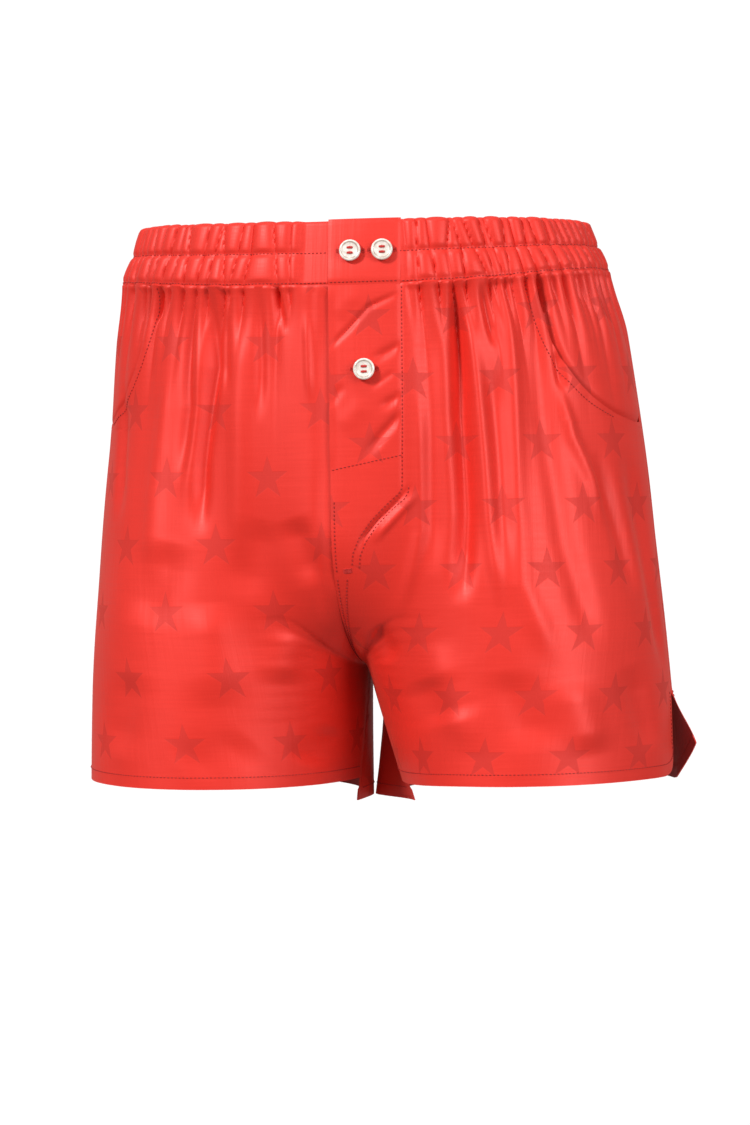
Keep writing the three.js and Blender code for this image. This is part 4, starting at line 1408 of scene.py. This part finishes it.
def tube(path, radius, sides=8):
    """A round strand with closed ends."""
    path = np.asarray(path, float)
    tangent = np.gradient(path, axis=0)
    tangent /= np.maximum(np.linalg.norm(tangent, axis=1, keepdims=True), 1e-9)
    side = np.cross(tangent, (0.31, 0.12, 0.94))
    side /= np.maximum(np.linalg.norm(side, axis=1, keepdims=True), 1e-9)
    other = np.cross(tangent, side)
    angles = np.linspace(0, 2 * math.pi, sides, endpoint=False)
    rings = path[:, None] + radius * (
        np.cos(angles)[None, :, None] * side[:, None] + np.sin(angles)[None, :, None] * other[:, None]
    )
    faces = [tuple(range(sides))[::-1], tuple(range((len(path) - 1) * sides, len(path) * sides))]
    for i in range(len(path) - 1):
        for j in range(sides):
            k = (j + 1) % sides
            faces.append((i * sides + j, i * sides + k, (i + 1) * sides + k, (i + 1) * sides + j))
    return rings.reshape(-1, 3), faces


def joined(parts):
    verts, faces, total = [], [], 0
    for part_verts, part_faces in parts:
        verts.append(part_verts)
        faces.extend([tuple(total + v for v in f) for f in part_faces])
        total += len(part_verts)
    return np.concatenate(verts), faces


def button_threads(depth):
    """Two level bars of three strands each, their legs, and a wound shank down to the cloth."""
    parts = []
    for z in (-HOLE_HALF, HOLE_HALF):
        for strand in (-0.46, 0.0, 0.46):
            t = np.linspace(0, 1, 17)
            x = HOLE_HALF * (2 * t - 1)
            height = 2.0 + 0.42 * np.sin(math.pi * t) + 0.08 * math.cos(9 * strand)
            spread = z + strand * (0.75 + 0.25 * np.sin(math.pi * t))
            inside = np.linspace(0.3, 1.0, 5)
            path = [(-HOLE_HALF + 0.1, -1.9 * s, z + strand * 0.7) for s in inside]
            path += zip(x, -height, spread)
            path += [(HOLE_HALF - 0.1, -1.9 * s, z + strand * 0.7) for s in inside[::-1]]
            parts.append(tube(path, 0.34))
    turns = np.linspace(0, 5 * 2 * math.pi, 90)
    shank = np.stack([0.85 * np.cos(turns), np.linspace(0.15, depth, 90), 0.85 * np.sin(turns)], -1)
    parts.append(tube(shank, 0.28))
    parts.append(lathe(((0, 0.02), (0.8, 0.02), (0.8, -depth), (0, -depth)), 14))
    return joined([(np.asarray(v, float), f) for v, f in parts])


BUTTON_CLEARANCE = 2.0  # room behind a button for its tilt


def button(name, x, drop, top_offset, under_offset):
    back = top_offset + BUTTON_CLEARANCE
    place = button_frame(x, drop, back)
    verts, faces = lathe(BUTTON_PROFILE, BUTTON_SIDES)
    radii = [np.linalg.norm(np.mean([(verts[v][0], verts[v][2]) for v in f], axis=0)) for f in faces]
    # Faces on the rim's inner slope take the darker pearl with its painted shade.
    in_shaded_rim = [int(RIM_INNER < radius < RIM_OUTER) for radius in radii]
    disc = cut_holes(mesh_object(name + "_shell", verts, faces, None, in_shaded_rim, (pearl, pearl_rim_and_shade)))
    disc.data.name = name + "_shell"
    disc.data.transform(place)
    disc.data.set_sharp_from_angle(angle=EDGE_ANGLE)
    in_place_of(disc, name, name)
    verts, faces = button_threads(back - under_offset - 0.35)
    wound = mesh_object(name + "_thread_wound", verts, faces, materials=(button_thread,))
    wound.data.transform(place)
    in_place_of(wound, name + "_thread", name)


for name, x in zip(("waist_button_inner", "waist_button_outer"), WAIST_BUTTON_X):
    button(name, x, WAIST_BUTTON_DROP, 2.0, UNDER_TAB_OFFSET + 0.3)
button("fly_button", FLY_BUTTON_X, FLY_BUTTON_DROP, 0.4, -1.85)


# ---------------------------------------------------------------- the stage
SKY_LOW, SKY_HIGH = 0.24, 0.42
LAMPS = (
    # name, strength, angular size, azimuth, elevation
    ("key", 2.75, 12, -34, 30),
    ("fill", 1.85, 32, 54, 12),
    ("top", 0.6, 40, 10, 78),
)


def stage():
    far, level = 30.0, -1.15
    data = bpy.data.meshes.new("floor")
    corners = [(x * far, y * far, level) for x, y in ((-1, -1), (1, -1), (1, 1), (-1, 1))]
    data.from_pydata(corners, [], [(0, 1, 2, 3)])
    floor = bpy.data.objects.new("floor", data)
    bpy.context.scene.collection.objects.link(floor)
    s = Surface("pale_floor")
    tone = s.noise(s.place(), 3.0, 3.0)
    data.materials.append(
        s.shade(base_color=s.mixed(tone, (0.93, 0.93, 0.93), (0.95, 0.95, 0.95)), roughness=0.9)
    )
    floor.visible_diffuse = False
    floor.visible_glossy = False


def lights():
    """A soft white sky, a little brighter above, seen as plain white, and three broad lamps."""
    world = bpy.data.worlds.new("studio")
    bpy.context.scene.world = world
    world.use_nodes = True
    s = Shading(world.node_tree)
    s.nodes.clear()
    strength = s.between(s.split(s.place("Generated"))["Z"], -0.7, 0.8, SKY_LOW, SKY_HIGH)
    soft, white = s.add("Background"), s.add("Background")
    s.feed_all(soft, {"Color": (1.0, 0.99, 0.98, 1), "Strength": strength})
    s.feed_all(white, {"Color": (1.0, 1.0, 1.0, 1), "Strength": 1.05})
    mix = s.add("MixShader")
    seen = s.add("LightPath").outputs["Is Camera Ray"]
    for socket, source in zip(mix.inputs, (seen, soft.outputs[0], white.outputs[0])):
        s.feed(socket, source)
    s.feed(s.add("OutputWorld").inputs[0], mix.outputs[0])
    for name, energy, spread, azimuth, elevation in LAMPS:
        data = bpy.data.lights.new(name, "SUN")
        data.energy, data.angle = energy, math.radians(spread)
        lamp = bpy.data.objects.new(name, data)
        bpy.context.scene.collection.objects.link(lamp)
        a, e = math.radians(azimuth), math.radians(elevation)
        towards = Vector((math.sin(a) * math.cos(e), -math.cos(a) * math.cos(e), math.sin(e)))
        lamp.rotation_mode = "QUATERNION"
        lamp.rotation_quaternion = towards.to_track_quat("Z", "Y")
        lamp.location = towards * 3


CAMERA_AZIMUTH = math.radians(11.5)
CAMERA_DISTANCE = 2.2
CAMERA_HEIGHT = -0.1795
FRAME_HEIGHT = 0.765  # how much of the object's plane the picture's height takes in
AIM_HEIGHT = -0.222
AIM_ASIDE = 0.0037
CAMERA_ROLL = math.radians(1.0)


def camera():
    data = bpy.data.cameras.new("camera")
    cam = bpy.data.objects.new("camera", data)
    bpy.context.scene.collection.objects.link(cam)
    data.sensor_width = 36.0
    data.lens = data.sensor_width * CAMERA_DISTANCE / FRAME_HEIGHT
    data.clip_start, data.clip_end = 0.05, 100.0
    towards = Vector((math.sin(CAMERA_AZIMUTH), -math.cos(CAMERA_AZIMUTH), 0))
    aside = Vector((math.cos(CAMERA_AZIMUTH), math.sin(CAMERA_AZIMUTH), 0)) * AIM_ASIDE
    cam.location = towards * CAMERA_DISTANCE + aside + Vector((0, 0, CAMERA_HEIGHT))
    aim = aside + Vector((0, 0, AIM_HEIGHT))
    cam.rotation_mode = "QUATERNION"
    roll = Quaternion((0, 0, 1), -CAMERA_ROLL)
    cam.rotation_quaternion = (cam.location - aim).to_track_quat("Z", "Y") @ roll
    bpy.context.scene.camera = cam


stage()
lights()
camera()
bpy.context.scene.view_settings.view_transform = "Standard"

# ---------------------------------------------------------------- what each sheet was cut to
PANEL_CUT = {FRONT: (0.345 / MM, 0.334 / MM), BACK: (0.345 / MM, 0.350 / MM)}
LEG_CUT_SHARE = 0.88  # a leg panel's curved fork and shaped hem are cut away
GATHER = 1.25  # how much longer the casing is cut than the elastic draws it in to
CASING_CUT = 2 * BAND_HEIGHT + 6
POCKET_CUT = (90, POCKET_BOTTOM - BAND_HEIGHT + 2)


def declare(obj, width, length, held, rests_on, share=1.0, with_pieces=()):
    """A sheet cut to width by length millimetres, or to a share of that where the cut isn't a rectangle;
    these sizes are not used.
    """
    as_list(rests_on)
    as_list(with_pieces)


for (side, face), cloth in panels.items():
    pieces = [hem_stitches[side, face]]
    if face == FRONT:
        pieces.append(pocket_stitches[side])
    if (side, face) == (LEFT, FRONT):
        pieces.extend([fly_stitches, bartacks])
    declare(cloth, *PANEL_CUT[face], "hung", [bands[side]], LEG_CUT_SHARE, pieces)
for side, start in ((LEFT, FLAP_WIDTH), (RIGHT, 0)):
    length = (2 * QUARTER - start) * GATHER
    declare(bands[side], length, CASING_CUT, "gathered", elastics, 1.0, [band_stitches[side]])
for elastic in elastics:
    declare(elastic, 4 * QUARTER - FLAP_WIDTH, ELASTIC_WIDTH, "stretched", [bands[LEFT], bands[RIGHT]])
declare(waist_tab, FLAP_WIDTH, 43, "laid", [under_tab], 1.0, [tab_stitches, waist_buttonholes])
declare(under_tab, FLAP_WIDTH - 2, BAND_HEIGHT, "laid", [bands[RIGHT]])
flap_cut = (FLAP_WIDTH, FLAP_LENGTH - BAND_HEIGHT)
declare(fly_flap, *flap_cut, "laid", [fly_facing], 1.0, [fly_buttonhole])
declare(fly_facing, *flap_cut, "laid", [fly_underlap])
declare(fly_facing_lower, FLAP_WIDTH, FLY_LENGTH - FLAP_LENGTH, "laid", [fly_underlap], 0.85)
underlap_cut = (FLAP_WIDTH + UNDERLAP_BACKING - 2, FLY_LENGTH - BAND_HEIGHT)
declare(fly_underlap, *underlap_cut, "laid", [panels[RIGHT, FRONT]], 0.95)
for side, (facing, bag) in pockets.items():
    declare(facing, *POCKET_CUT, "hung", [bands[side]])
    declare(bag, *POCKET_CUT, "hung", [bands[side]], 0.8)
declare(care_label, 34, 20, "hung", [bands[LEFT]])
